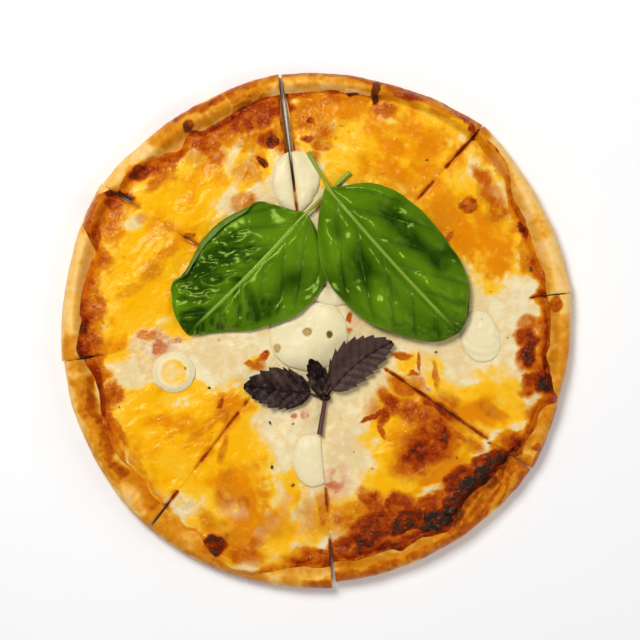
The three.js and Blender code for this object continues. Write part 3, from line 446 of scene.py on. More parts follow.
# Herb flecks that can be told apart, as centre and length, and how many more are scattered.
HERB_FLECKS = [
    (-47.7, -4.4, 1.2), (-52.5, -27.7, 2.2), (-22.9, -44.7, 2.2), (-11.7, -45.2, 1.6), (-21.9, -66.2, 2.4),
    (-11.7, -74.9, 2.6), (-96.3, -37, 1.4), (104.1, 30.2, 3.4), (98.3, -2.9, 1.6), (92.9, -3.4, 1.2),
    (57.9, -10.2, 2.0), (83.7, -54.5, 2.2), (68.1, -61.8, 2.0), (53.5, 83.2, 2.0), (27, -67, 1.4),
]
SCATTERED_FLECKS = 46
FLECK_FIELD = 105  # radius of the scatter
FLECK_LENGTHS = (0.3, 0.9)
FLECK_LIFT, FLECK_THICK = 0.45, 0.3
FLECK_SEED = 7

# The picture: the camera looks straight down, a little beside the pizza's middle.
PICTURE_WIDTH = 311.3  # of the pizza's level that the picture takes in
PICTURE_CENTRE = (1.46, 5.35)
CAMERA_HEIGHT = 900.0
PIZZA_LEVEL = 9.0
NEAREST_SEEN = 0.01  # in metres, as the floor's and the lights' sizes are
FLOOR_HALF = 3.0
FLOOR_DROP = 0.02  # in millimetres, below the underside
ROOM_LIGHT = 0.2
# The lamps: place and width in metres, and power in watts.
LAMPS = {
    "key": ((-0.32, 0.42, 0.9), 0.36, 8.8),
    "fill": ((0.85, -0.1, 0.6), 0.7, 3.2),
    "low": ((-0.1, -0.9, 0.55), 0.7, 1.9),
}

# Layers of noise, named for what they shape: strength, size of the lumps, octaves and seed.
LAYERS = {
    "rim outline": (0.4, 5, 3, 4),
    "cheese outline": (1.5, 9, 4, 5),
    "rim lumps": (0.45, 12, 2, 21),
    "rim pores": (0.12, 2.6, 3, 22),
    "orange mottling": (0.2, 2.4, 2, 36),
    "deep clouds": (0.32, 9, 4, 37),
    "browning": (0.22, 3.2, 3, 51),
    "freckle size": (0.2, 9, 2, 54),
    "freckle drift": (2, 3, 2, 56),
    "baking reach": (0.9, 12, 4, 57),
    "baking strength": (0.35, 7, 3, 58),
    "tomato": (1, 5, 3, 61),
    "cheese lumps": (0.45, 13, 3, 71),
    "bend along x": (2, 9, 2, 72),
    "bend along y": (2, 9, 2, 73),
    "bubble mounds": (0.4, 4.5, 3, 77),
    "charred lumps": (0.5, 2.4, 3, 78),
    "cheese pores": (1, 2.4, 3, 79),
    "band bend": (0.22, 8, 3, 81),
    "band ends": (2.5, 9, 2, 82),
    "rim clouds": (0.1, 7, 2, 84),
    "rim mottling": (0.15, 1.9, 3, 85),
    "baked underside": (0.2, 12, 3, 91),
    "cut gap shade": (0.5, 5, 3, 92),
    "round outline": (0.06, 7, 4, 101),
    "round lumps": (0.4, 8, 3, 103),
    "hole outline": (0.12, 2.5, 2, 104),
    "yolk outline": (0.12, 5, 3, 105),
    "yolk clouds": (0.5, 4, 3, 106),
    "leaf outline": (0.02, 4, 3, 111),
    "leaf folds": (1, 17, 2, 113),
    "torn roll": (0.04, 5, 3, 114),
    "leaf dimples": (0.6, 7, 2, 115),
    "vein drift": (0.16, 24, 2, 116),
    "field drift": (2, 8, 2, 117),
    "roll clouds": (0.6, 4, 3, 120),
}
# Folds, drawn out along a direction: size across, how many times longer along, and seed.
FOLDS = {
    "orange streaks": (5, 2.4, 35),
    "cheese folds": (7, 2.2, 74),
    "creases on the left": (5.5, 2.4, 118),
    "creases on the right": (5.5, 2.4, 119),
}
# Scattered points: how far apart, and seed.
CELLS = {
    "freckles": (4.6, 53),
    "bubbles": (3.6, 75),
    "grains": (1.8, 76),
    "leaf fields": (6.5, 112),
}
# How far painted edges wander: by fine noise, by broad noise, and seed.
WANDERS = {
    "clouds": (0.8, 4.5, 31),
    "spots": (1.1, 1.6, 41),
    "rim": (0.8, 0.8, 83),
}
FINE_WANDER, BROAD_WANDER = (4.5, 3), (16, 2)  # size and octaves of that noise

HASH_FACTORS = (374761393, 668265263, 974634777)
HASH_MIX = 1274126177
WORD, HALF_WORD = 0xFFFFFFFF, 0xFFFF
FIRST_TURN, TURN_STEP = 0.7, 1.9  # radians by which each octave is turned
SEED_STEP = 17
NOISE_GAIN = 1.5


# ---- Numbers, worked out as whole arrays ----
def bell(distance, width):
    """exp of minus the square of distance over width."""
    return np.exp(-((distance / width) ** 2))


def ease(x, low, high):
    """0 below low, 1 above high and the cubic 3s^2 - 2s^3 between; low may be the larger one."""
    s = np.clip((x - low) / (high - low), 0, 1)
    return s * s * (3 - 2 * s)


def blend(a, b, share):
    """a at share 0, b at share 1 and in proportion between."""
    return a + (b - a) * share


def smooth_max(a, b, width):
    """The larger of a and b, with a parabola over the corner between them."""
    h = np.maximum(width - np.abs(a - b), 0) / width
    return np.maximum(a, b) + h * h * width / 4


def through_three(values, t):
    """The parabola through a value at t = 0, 1/2 and 1."""
    start, middle, end = values
    return start * (1 - t) * (1 - 2 * t) + middle * 4 * t * (1 - t) + end * t * (2 * t - 1)


def through(values, q):
    """The Catmull-Rom curve through equally spaced values, at the share q of the way along them."""
    v = np.array([values[0], *values, values[-1]], float)
    last = len(values) - 1
    k = np.minimum(np.floor(q * last).astype(int), last - 1)
    f = q * last - k
    a, b, c, d = v[k], v[k + 1], v[k + 2], v[k + 3]
    return b + 0.5 * f * (c - a + f * (2 * a - 5 * b + 4 * c - d + f * (3 * (b - c) + d - a)))


def lattice(i, j, seed):
    """A fixed random number from 0 to 1 for each pair of whole numbers, by mixing their bits."""
    h = (i * HASH_FACTORS[0] + j * HASH_FACTORS[1] + seed * HASH_FACTORS[2]) & WORD
    h = ((h ^ (h >> 13)) * HASH_MIX) & WORD
    return ((h ^ (h >> 16)) & HALF_WORD) / HALF_WORD


def quintic(t):
    """6t^5 - 15t^4 + 10t^3, which eases from 0 to 1."""
    return t * t * t * (t * (t * 6 - 15) + 10)


def noise(x, y, size, seed):
    """Random numbers from -1 to 1 on a square lattice of the given size, eased between its corners."""
    i, j = np.floor(x / size).astype(np.int64), np.floor(y / size).astype(np.int64)
    u, v = quintic(x / size - i), quintic(y / size - j)
    low = blend(lattice(i, j, seed), lattice(i + 1, j, seed), u)
    high = blend(lattice(i, j + 1, seed), lattice(i + 1, j + 1, seed), u)
    return 2 * blend(low, high, v) - 1


def fractal(x, y, size, octaves, seed):
    """Noise of one size plus half as much of half the size, and so on, each turned by its own angle."""
    total, weight = 0, 0
    for k in range(octaves):
        turn = FIRST_TURN + TURN_STEP * k + seed
        c, s = math.cos(turn), math.sin(turn)
        total = total + 0.5**k * noise(c * x - s * y, s * x + c * y, size / 2**k, seed + SEED_STEP * k)
        weight += 0.5**k
    return total * NOISE_GAIN / weight


def layer(name, x, y):
    """One of the layers of noise, at points of the plane."""
    strength, size, octaves, seed = LAYERS[name]
    return strength * fractal(x, y, size, octaves, seed)


def folded(name, x, y, grain):
    """Noise drawn out along the direction of the folds, which is given in degrees."""
    size, stretch, seed = FOLDS[name]
    along, across = turned(x, y, 0, 0, grain)
    return fractal(along / stretch, across, size, 3, seed)


def cells(name, x, y):
    """Distances to the nearest and second nearest of points thrown one into each square, in squares."""
    size, seed = CELLS[name]
    i, j = np.floor(x / size).astype(np.int64), np.floor(y / size).astype(np.int64)
    near, second = np.full(np.shape(x), np.inf), np.full(np.shape(x), np.inf)
    for di in (-1, 0, 1):
        for dj in (-1, 0, 1):
            px = i + di + lattice(i + di, j + dj, seed)
            py = j + dj + lattice(i + di, j + dj, seed + 7)
            d = np.hypot(x / size - px, y / size - py)
            second = np.minimum(second, np.maximum(near, d))
            near = np.minimum(near, d)
    return near, second


def turned(x, y, at_x, at_y, degrees):
    """Coordinates along and across an axis through a point, turned anticlockwise by so many degrees."""
    a = math.radians(degrees)
    dx, dy = x - at_x, y - at_y
    return dx * math.cos(a) + dy * math.sin(a), dy * math.cos(a) - dx * math.sin(a)


def patch_share(patch, x, y):
    """1 inside an ellipse and 0 outside it, eased over the softness of its edge."""
    u, v = turned(x, y, patch.x, patch.y, patch.turn)
    return ease(np.hypot(u / patch.length, v / patch.width), 1 + patch.soft, 1 - patch.soft)


def in_reach(patches, x, y):
    """The patches that touch the box round the points."""
    return [
        patch for patch in patches
        if x.min() - 2 * patch.length < patch.x < x.max() + 2 * patch.length
        and y.min() - 2 * patch.length < patch.y < y.max() + 2 * patch.length
    ]


def painted(patches, x, y, under=0):
    """The strongest of the patches and what is under them, then every negative patch taken off."""
    value = np.zeros_like(x) + under
    near = in_reach(patches, x, y)
    for patch in near:
        if patch.strength > 0:
            value = np.maximum(value, patch.strength * patch_share(patch, x, y))
    for patch in near:
        if patch.strength < 0:
            value = value * (1 + patch.strength * patch_share(patch, x, y))
    return value


def washed(patches, x, y):
    """Soft patches that run together: the shares that each leaves bare are multiplied."""
    bare = np.ones_like(x)
    for patch in in_reach(patches, x, y):
        softer = patch._replace(soft=WASH_SOFTNESS * patch.soft)
        bare = bare * (1 - patch.strength * patch_share(softer, x, y))
    return 1 - bare


def sum_of_bells(bells, x, y):
    """Heights that fall off as bells round their centres, added up."""
    return sum(height * bell(np.hypot(x - bx, y - by), radius) for bx, by, radius, height in bells)


def mounds(table, u, s):
    """Mounds on a leaf: a bell across times a bell along for each, added up."""
    total = 0
    for across, along, wide, long, height in table:
        total = total + height * bell(u - across, wide) * bell(s - along, long)
    return total


def wandering(name, x, y):
    """The point moved by two sizes of noise, so that what is painted there has a torn edge."""
    near, far, seed = WANDERS[name]
    moved = []
    for place, first in ((x, seed), (y, seed + 1)):
        broad = far * fractal(x, y, *BROAD_WANDER, first)
        fine = near * fractal(x, y, *FINE_WANDER, first + 3)
        moved.append(place + (broad + fine))
    return moved


def distance_to_line(x, y, start, end):
    """Distance to the nearest point of a straight stretch."""
    sx, sy = end[0] - start[0], end[1] - start[1]
    share = np.clip(((x - start[0]) * sx + (y - start[1]) * sy) / (sx * sx + sy * sy), 0, 1)
    return np.hypot(x - start[0] - share * sx, y - start[1] - share * sy)


# ---- Meshes ----
def grid_faces(columns, rows, first=0):
    """Quads of a grid of points stored column by column, anticlockwise where rows lie left of columns."""
    i, j = np.meshgrid(np.arange(columns), np.arange(rows), indexing="ij")
    a = first + i * (rows + 1) + j
    return np.stack([a, a + rows + 1, a + rows + 2, a + 1], -1).reshape(-1, 4)


def ring_faces(rings, size):
    """Quads between closed rings of points that are stored one after the other."""
    k, i = np.meshgrid(np.arange(rings - 1), np.arange(size), indexing="ij")
    a, b = k * size + i, k * size + (i + 1) % size
    return np.stack([a, a + size, b + size, b], -1).reshape(-1, 4)


def tube(path, radius, sides):
    """Rings of points round a path, with closed ends. Each ring lies in the plane across the path there, and
    radius has one number for each point of the path."""
    path = np.asarray(path, float)
    ahead = np.gradient(path, axis=0)
    ahead /= np.linalg.norm(ahead, axis=1)[:, None]
    side = np.cross(ahead, (0, 0, 1))
    side /= np.linalg.norm(side, axis=1)[:, None]
    up = np.cross(side, ahead)
    turn = (np.arange(sides) * 2 * math.pi / sides)[None, :, None]
    ring = radius[:, None, None] * (np.cos(turn) * side[:, None] + np.sin(turn) * up[:, None])
    points = (path[:, None] + ring).reshape(-1, 3)
    last = (len(path) - 1) * sides
    ends = [list(range(sides)), [last + i for i in reversed(range(sides))]]
    return points, ring_faces(len(path), sides), ends


def smooth_path(points, steps):
    """The Catmull-Rom curve through points in space."""
    q = np.linspace(0, 1, steps)
    return np.stack([through(axis, q) for axis in np.array(points, float).T], -1)


def smoothed(height, passes):
    """A grid of heights, each put to the mean of its neighbours so many times."""
    for _ in range(passes):
        wide = np.pad(height, 1, mode="edge")
        height = (wide[:-2, 1:-1] + wide[2:, 1:-1] + wide[1:-1, :-2] + wide[1:-1, 2:]) / 4
    return height


def closed_sheet(top, thickness):
    """A thin closed solid: a grid of points, the same lower down and turned over, and a strip between their
    borders."""
    bottom = top - [0, 0, thickness]
    columns, rows = top.shape[0] - 1, top.shape[1] - 1
    count = (columns + 1) * (rows + 1)
    upper = grid_faces(columns, rows)
    lower = grid_faces(columns, rows, count)[:, ::-1]
    i, j = np.arange(columns + 1) * (rows + 1), np.arange(rows + 1)
    around = np.concatenate([i, i[-1] + j[1:], i[-2::-1] + rows, j[-2::-1]])
    a, b = around[:-1], around[1:]
    strip = np.stack([b, a, a + count, b + count], -1)
    points = np.concatenate([top.reshape(-1, 3), bottom.reshape(-1, 3)])
    return points, np.concatenate([upper, lower, strip])


def merged(parts):
    """Several meshes as one, from each part's points, quads, other faces and masks."""
    points, quads, others, masks, count = [], [], [], {}, 0
    for part_points, part_quads, part_others, part_masks in parts:
        points.append(part_points)
        quads.append(part_quads + count)
        others += [[count + i for i in face] for face in part_others]
        for name, values in part_masks.items():
            masks.setdefault(name, []).append(np.broadcast_to(values, len(part_points)))
        count += len(part_points)
    masks = {name: np.concatenate(values) for name, values in masks.items()}
    return np.concatenate(points), np.concatenate(quads), others, masks


def make_piece(name, points, quads, others, masks, material, slot, nodes, sharp_angle=None):
    """A smooth mesh object from points in the part's millimetres, with a named number at each point for each
    mask. It rides on the root body and stands for the given nodes."""
    mesh = bpy.data.meshes.new(name)
    mesh.vertices.add(len(points))
    mesh.vertices.foreach_set("co", (points * MM).astype(np.float32).ravel())
    corners = np.concatenate([quads.ravel(), *[np.array(face) for face in others]]).astype(np.int32)
    sizes = np.concatenate([np.full(len(quads), 4), [len(face) for face in others]]).astype(np.int64)
    starts = (np.cumsum(sizes) - sizes).astype(np.int32)
    mesh.loops.add(len(corners))
    mesh.loops.foreach_set("vertex_index", corners)
    mesh.polygons.add(len(starts))
    mesh.polygons.foreach_set("loop_start", starts)
    mesh.update(calc_edges=True)
    mesh.shade_smooth()
    if sharp_angle is not None:
        mesh.set_sharp_from_angle(angle=sharp_angle)
    for mask, values in masks.items():
        attribute = mesh.attributes.new(mask, "FLOAT", "POINT")
        attribute.data.foreach_set("value", np.asarray(values, np.float32).ravel())
    piece = bpy.data.objects.new(name, mesh)
    bpy.context.scene.collection.objects.link(piece)
    mesh.materials.append(material)
    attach(piece, "root")
    if nodes:
        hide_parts(*nodes)
    return piece


# ---- The pizza's shape ----
class Pizza:
    """The heights of the pizza, from the sizes in the panel. Places on a slice are t, the share of the way
    across it, and r, the distance from the cut centre."""

    def __init__(self, sizes):
        self.dough = sizes.dough / MM
        self.rim_height = sizes.rim_height / MM
        self.cheese = sizes.cheese / MM
        self.roughness = sizes.roughness

    def gap(self, cut, r):
        """Width of a cut: the kerf, closed where cheese ran over it, and half a sine wave an opening."""
        width = KERF * (1 + KERF_CHANGE * noise(r, r * 0, KERF_CHANGE_SIZE, int(cut.angle)))
        for start, end in cut.healed:
            width = width * (1 - ease(r, start, start + HEALS_OVER) * ease(r, end, end - HEALS_OVER))
        change = 1 + OPENING_CHANGE * noise(r, r * 0, OPENING_CHANGE_SIZE, 3)
        for start, end, widest in cut.openings:
            share = np.clip((r - start) / (end - start), 0, 1)
            width = width + widest * np.sin(math.pi * share) * change
        return width

    def place(self, piece, t, r):
        """x and y of a place on a slice, whose sides keep half of each cut's width clear."""
        start = np.radians(piece.start.angle) + self.gap(piece.start, r) / 2 / r
        end = np.radians(piece.end.angle) - self.gap(piece.end, r) / 2 / r
        angle = blend(start, end, t)
        return CUT_CENTRE[0] + r * np.cos(angle), CUT_CENTRE[1] + r * np.sin(angle)

    def from_cut(self, piece, t, r):
        """Distance to the slice's nearer side, and the width of the cut there."""
        beside = r * np.radians(piece.end.angle - piece.start.angle) * np.minimum(t, 1 - t)
        return beside, np.where(t < 0.5, self.gap(piece.start, r), self.gap(piece.end, r))

    def rim(self, piece, t):
        """Angle in degrees, and radii of the rim's outside, the rim's foot and the cheese's edge."""
        angle = blend(piece.start.angle, piece.end.angle, t)
        outer = through_three(piece.outer, t) + layer("rim outline", angle, angle * 0)
        edge = through_three(piece.edge, t)
        run = sum(by * bell(angle - at, width) for at, by, width in piece.runs)
        wander = layer("cheese outline", angle, angle * 0 + piece.number)
        return angle, outer, edge - RIM_FOOT, np.minimum(edge + run + wander, outer - RIM_LEFT_BARE)

    def dough_top(self, piece, t, r):
        """Height of the dough: flat, then half a cosine wave up to the rim's crown and a quarter ellipse down
        outside it, with lumps, creases and noise on the rim."""
        angle, outer, foot, _ = self.rim(piece, t)
        x, y = self.place(piece, t, r)
        first, second = (count * np.radians(angle) for count in RIM_WAVES)
        wave = RIM_WAVE * np.sin(first) * np.cos(second)
        rise = self.rim_height - self.dough + wave + sum_of_bells(RIM_LUMPS, x, y)
        across = np.clip((r - foot) / (outer - foot), 0, 1)
        inner = 0.5 - 0.5 * np.cos(math.pi * np.minimum(across / CROWN, 1))
        outside = np.sqrt(np.maximum(1 - (np.maximum(across - CROWN, 0) / (1 - CROWN)) ** 2, 0))
        on_rim = ease(across, 0.05, 0.5) * ease(across, 1.0, 0.9)
        detail = layer("rim lumps", x, y) + layer("rim pores", x, y)
        for start, end, width, depth in CREASES:
            detail = detail - depth * bell(distance_to_line(x, y, start, end), width)
        return self.dough + rise * np.minimum(inner, outside) + detail * on_rim * self.roughness

    def relief(self, x, y):
        """Height of the cheese's swells: a product of two long waves, a slanted wave and the listed bells."""
        height, turn_x, turn_y, start_x, start_y = BROAD_WAVES
        broad = height * np.sin(turn_x * x + start_x) * np.cos(turn_y * y + start_y)
        height, turn_x, turn_y, start = SLANTED_WAVES
        return broad + height * np.sin(turn_x * x + turn_y * y + start) + sum_of_bells(SWELLS, x, y)

    def cheese_top(self, piece, t, r):
        """Height of the smooth cheese: a pool that climbs the rim's foot and ends in a thin rounded coat."""
        _, _, _, cheese = self.rim(piece, t)
        x, y = self.place(piece, t, r)
        inside = np.maximum(cheese - r, 0)
        coat = self.dough_top(piece, t, r) + blend(COAT_EDGE, COAT, ease(inside, *COAT_RISES))
        pool = self.dough + self.cheese + self.relief(x, y) * ease(inside, 0, SWELLS_REACH)
        return blend(coat, smooth_max(pool, coat, POOL_FILLET), ease(inside, 0, POOL_REACHES))

    def on_slice(self, x, y):
        """For points of the plane, yields each slice, which of the points it has, and their t and r."""
        arm_x, arm_y = x - CUT_CENTRE[0], y - CUT_CENTRE[1]
        r = np.maximum(np.hypot(arm_x, arm_y), SLICE_TIP)
        first = CUTS[0].angle
        angle = (np.degrees(np.arctan2(arm_y, arm_x)) - first) % 360 + first
        for piece in SLICES:
            has = (angle >= piece.start.angle) & (angle < piece.end.angle)
            t = (angle[has] - piece.start.angle) / (piece.end.angle - piece.start.angle)
            yield piece, has, t, r[has]

    def top(self, x, y):
        """Height of the bare pizza at points of the plane: cheese as far as it reaches, then dough."""
        height = np.zeros_like(x)
        for piece, has, t, r in self.on_slice(x, y):
            _, _, _, cheese = self.rim(piece, t)
            height[has] = np.where(r < cheese, self.cheese_top(piece, t, r), self.dough_top(piece, t, r))
        return height

    def served_top(self, x, y):
        """Height of the pizza with its rounds: each adds its thickness, eased off outside its outline."""
        height = self.top(x, y)
        for soft in ROUNDS:
            if soft.name != SECOND_HALF:
                u, v = turned(x, y, soft.x, soft.y, soft.turn)
                away = np.hypot(u / soft.half[0], v / soft.half[1])
                height = height + (soft.thick + ROUND_ROOM) * ease(away, *ROUND_FLANK)
        return height

    def point_above(self, place, clear):
        """The point so far above the pizza with its rounds."""
        x, y = np.array(place, float)[:, None]
        return np.array([*place, self.served_top(x, y)[0] + clear])


# ---- What is painted and raised on the cheese ----
def edge_baking(angle, inside, x, y):
    """Browning along the edge: the strength and reach between the listed angles, torn by noise."""
    angles, reaches, strengths = np.array(EDGE_BAKING, float).T
    reach = np.interp(angle % 360, angles, reaches, period=360) * (1.1 + layer("baking reach", x, y))
    strength = np.interp(angle % 360, angles, strengths, period=360) * (1 + layer("baking strength", x, y))
    reach = np.maximum(reach, 1)
    return strength * ease(inside, reach * 1.7, reach * 0.2)


def cheese_masks(x, y, grain, angle, inside):
    """How orange, deep, browned, tomato-stained and crusty the cheese is: the patches, read at a point that
    wanders, with streaks, mottling, freckles and the baked edge added."""
    cloud, spot = wandering("clouds", x, y), wandering("spots", x, y)
    edge = edge_baking(angle, inside, x, y)
    streaks = folded("orange streaks", x, y, grain)
    orange = washed(ORANGE_CHEESE, *cloud) * (1 - washed(PALE_OVER, *spot))
    orange = np.maximum(orange, 0.9 * ease(edge, 0.08, 0.3))
    orange = orange + (0.4 * streaks + layer("orange mottling", x, y)) * (1 - np.abs(2 * orange - 1))
    orange = np.clip(orange - 0.14 * ease(streaks, 0.1, 0.8), 0, 1)
    deep = washed(DEEP_ORANGE, *cloud) + 0.5 * (orange - 0.8) - 0.3 * streaks + ease(edge, 0.1, 0.4)
    deep = np.clip(deep + layer("deep clouds", x, y), 0, 1)
    near, _ = cells("freckles", x + layer("freckle drift", x, y), y)
    size = np.maximum(0.12 + layer("freckle size", x, y), 0.02)
    freckle = painted(FRECKLED, *cloud) * ease(near, size, size * 0.4)
    browned = np.maximum(painted(BROWNED, *spot), edge) * (1 + layer("browning", x, y))
    return {
        "orange": orange,
        "deep": deep,
        "browned": np.clip(np.maximum(browned, 0.48 * freckle), 0, 1),
        "tomato": painted(TOMATO, *spot) * ease(layer("tomato", x, y), -0.9, 0.3),
        "crusty": np.maximum(painted(CRUSTY, *cloud), ease(edge, 0.2, 0.5)),
    }


def cheese_detail(x, y, grain, masks):
    """Height added to the smooth cheese: broad lumps, folds along the grain where it is orange, round bubbles
    where it is crusty or browned and jagged grains where it is black."""
    browned, orange, crusty = masks["browned"], masks["orange"], masks["crusty"]
    bent = x + layer("bend along x", x, y), y + layer("bend along y", x, y)
    fold = 1 - np.abs(folded("cheese folds", *bent, grain))
    bubble, _ = cells("bubbles", *bent)
    small, _ = cells("grains", *bent)
    round_bubble = np.clip(1 - bubble * 1.5, 0, 1) ** 1.5
    grains = np.clip(1 - small * 1.3, 0, 1)
    bubbled = np.clip(0.7 * crusty + 0.7 * ease(browned, 0.3, 0.8), 0, 1)
    height = layer("cheese lumps", x, y) + (0.05 + 0.25 * crusty) * layer("cheese pores", x, y)
    height = height + 0.6 * (fold - 0.7) * (0.3 + 0.7 * orange)
    height = height + bubbled * (0.5 * round_bubble + 0.22 * grains + layer("bubble mounds", x, y))
    return height + ease(browned, 0.78, 0.95) * (0.7 * grains + layer("charred lumps", x, y) + 0.3)


def blisters(x, y):
    """Height of the named bubbles: the upper half of an ellipsoid over each one's ellipse."""
    height = np.zeros_like(x)
    for bx, by, length, width, turn, rise in BLISTERS:
        u, v = turned(x, y, bx, by, turn)
        height = np.maximum(height, rise * np.sqrt(np.maximum(1 - (u / length) ** 2 - (v / width) ** 2, 0)))
    return height


def rim_masks(angle, across, x, y):
    """How baked the dough is: golden where it meets the cheese, except on the rim's shaded side, which is
    left paler as painted light against that shade, then a band for each stretch of the rim, eased at its
    ends, then creases, marks and mottling."""
    bent = across + layer("band bend", x, y)
    around = angle + layer("band ends", x, y)
    shaded = ease(np.cos(np.radians(angle - SHADED_SIDE)), -0.4, 0.4)
    # Painted light: the golden edge is left out where the rim's inner side lies in shade, so that side is
    # painted paler.
    baked = 0.1 + 0.16 * ease(bent, 0.3, 0.0) * (1 - shaded)
    for (first, last), middle, half, strength in RIM_BAKING:
        off = (around - first + 180) % 360 - 180
        stretch = ease(off, -2, 3) * ease(off, last - first + 2, last - first - 3)
        baked = np.maximum(baked, strength * stretch * ease(np.abs(bent - middle), half * 1.3, half * 0.35))
    for start, end, width, depth in CREASES:
        baked = np.maximum(baked, 0.28 * depth * bell(distance_to_line(x, y, start, end), width))
    baked = painted(RIM_MARKS, *wandering("rim", x, y), baked)
    mottled = layer("rim clouds", x, y) + layer("rim mottling", x, y)
    return np.clip(baked + mottled * (0.25 + baked), 0, 1)


# ---- Materials ----
MIX_SHARE, MIX_FIRST, MIX_SECOND, MIX_RESULT = 0, 6, 7, 2  # the colour mix's sockets, by place
NOISE_ROUGHNESS = 0.55
BUBBLE_SMOOTHNESS = 0.6


class Value:
    """A socket of a material on which sums, products and powers work."""

    def __init__(self, surface, socket):
        self.surface = surface
        self.socket = socket

    def __add__(self, other):
        return self.surface.math("ADD", self, other)

    def __sub__(self, other):
        return self.surface.math("SUBTRACT", self, other)

    def __rsub__(self, other):
        return self.surface.math("SUBTRACT", other, self)

    def __mul__(self, other):
        return self.surface.math("MULTIPLY", self, other)

    __radd__ = __add__
    __rmul__ = __mul__

    def eased(self, low, high):
        """0 below low, 1 above high, smooth between."""
        settings = {"interpolation_type": "SMOOTHSTEP"}
        return self.surface.node(
            "ShaderNodeMapRange", settings, {"Value": self, "From Min": low, "From Max": high}
        )


class Surface:
    def __init__(self, name):
        self.material = bpy.data.materials.new(name)
        self.material.use_nodes = True
        self.tree = self.material.node_tree
        self.tree.nodes.clear()
        self.place = self.node("ShaderNodeTexCoord", {}, {}, "Object")

    def node(self, kind, settings, inputs, output=0):
        """Adds a node, with its settings first and then the values or links of its sockets."""
        node = self.tree.nodes.new(kind)
        for name, value in settings.items():
            setattr(node, name, value)
        for name, value in inputs.items():
            if isinstance(value, Value):
                self.tree.links.new(value.socket, node.inputs[name])
            else:
                node.inputs[name].default_value = value
        return Value(self, node.outputs[output]) if node.outputs else None

    def math(self, operation, *values):
        """A sum, product or other operation on numbers."""
        return self.node("ShaderNodeMath", {"operation": operation}, dict(enumerate(values)))

    def mask(self, name):
        """One of the piece's own named numbers."""
        return self.node("ShaderNodeAttribute", {"attribute_name": name}, {}, "Fac")

    def noise(self, size, detail):
        """Noise from 0 to 1 whose features are about size millimetres, in the object's own place."""
        inputs = {"Vector": self.place, "Scale": 1 / (size * MM), "Detail": detail}
        return self.node("ShaderNodeTexNoise", {}, {**inputs, "Roughness": NOISE_ROUGHNESS}, "Fac")

    def bubbles(self, size):
        """Distance to the nearest of scattered points, size millimetres apart."""
        settings = {"feature": "SMOOTH_F1"}
        inputs = {"Vector": self.place, "Scale": 1 / (size * MM), "Smoothness": BUBBLE_SMOOTHNESS}
        return self.node("ShaderNodeTexVoronoi", settings, inputs, "Distance")

    def mix(self, share, first, second):
        """A colour between two others; share 0 gives the first."""
        inputs = {MIX_SHARE: share, MIX_FIRST: opaque(first), MIX_SECOND: opaque(second)}
        return self.node("ShaderNodeMix", {"data_type": "RGBA"}, inputs, MIX_RESULT)

    def toned(self, value, color, colours, tones):
        """A colour with each tone laid over it, as far as the value has come through the tone's range."""
        for tone, low, high, strength in tones:
            color = self.mix(value.eased(low, high) * strength, color, getattr(colours, tone))
        return color

    def bump(self, height, strength, distance):
        """A normal from a height, whose full step is distance millimetres."""
        inputs = {"Height": height, "Strength": strength, "Distance": distance * MM}
        return self.node("ShaderNodeBump", {}, inputs)

    def finish(self, color, roughness, normal, constants):
        """The shader: what varies is linked, and constants are set on the shader's own sockets."""
        inputs = {"Base Color": color, "Roughness": roughness, "Normal": normal, **constants}
        shader = self.node("ShaderNodeBsdfPrincipled", {}, inputs)
        self.node("ShaderNodeOutputMaterial", {}, {"Surface": shader})
        return self.material


def opaque(color):
    """The colour of a panel setting with full alpha. A socket's value stays as it is."""
    return color if isinstance(color, Value) else (*color[:3], 1)


# Tones that come in one after the other: name, the range of the mask over which it does, and how much of it.
ORANGE_TONES = [("yellow_cheese", 0.05, 0.55, 1), ("orange_cheese", 0.5, 1.0, 1)]
TOMATO_TONES = [("pink_cheese", 0.05, 0.4, 0.6), ("tomato", 0.4, 0.75, 0.85)]
BROWNED_TONES = [
    ("amber", 0.05, 0.3, 0.75),
    ("toasted", 0.26, 0.46, 1),
    ("red_brown", 0.45, 0.66, 1),
    ("dark_brown", 0.66, 0.82, 1),
    ("charred", 0.84, 0.98, 1),
]
DOUGH_TONES = [
    ("yellow_dough", -0.05, 0.2, 1),
    ("golden_dough", 0.12, 0.42, 1),
    ("brown_dough", 0.4, 0.68, 1),
    ("dark_dough", 0.66, 0.92, 1),
]
# The second stain tone is painted shade at the bottom of the holes.
STAIN_TONES = [("hole_stain", 0.15, 0.6, 1), ("painted_hole_shade", 0.6, 0.95, 1)]


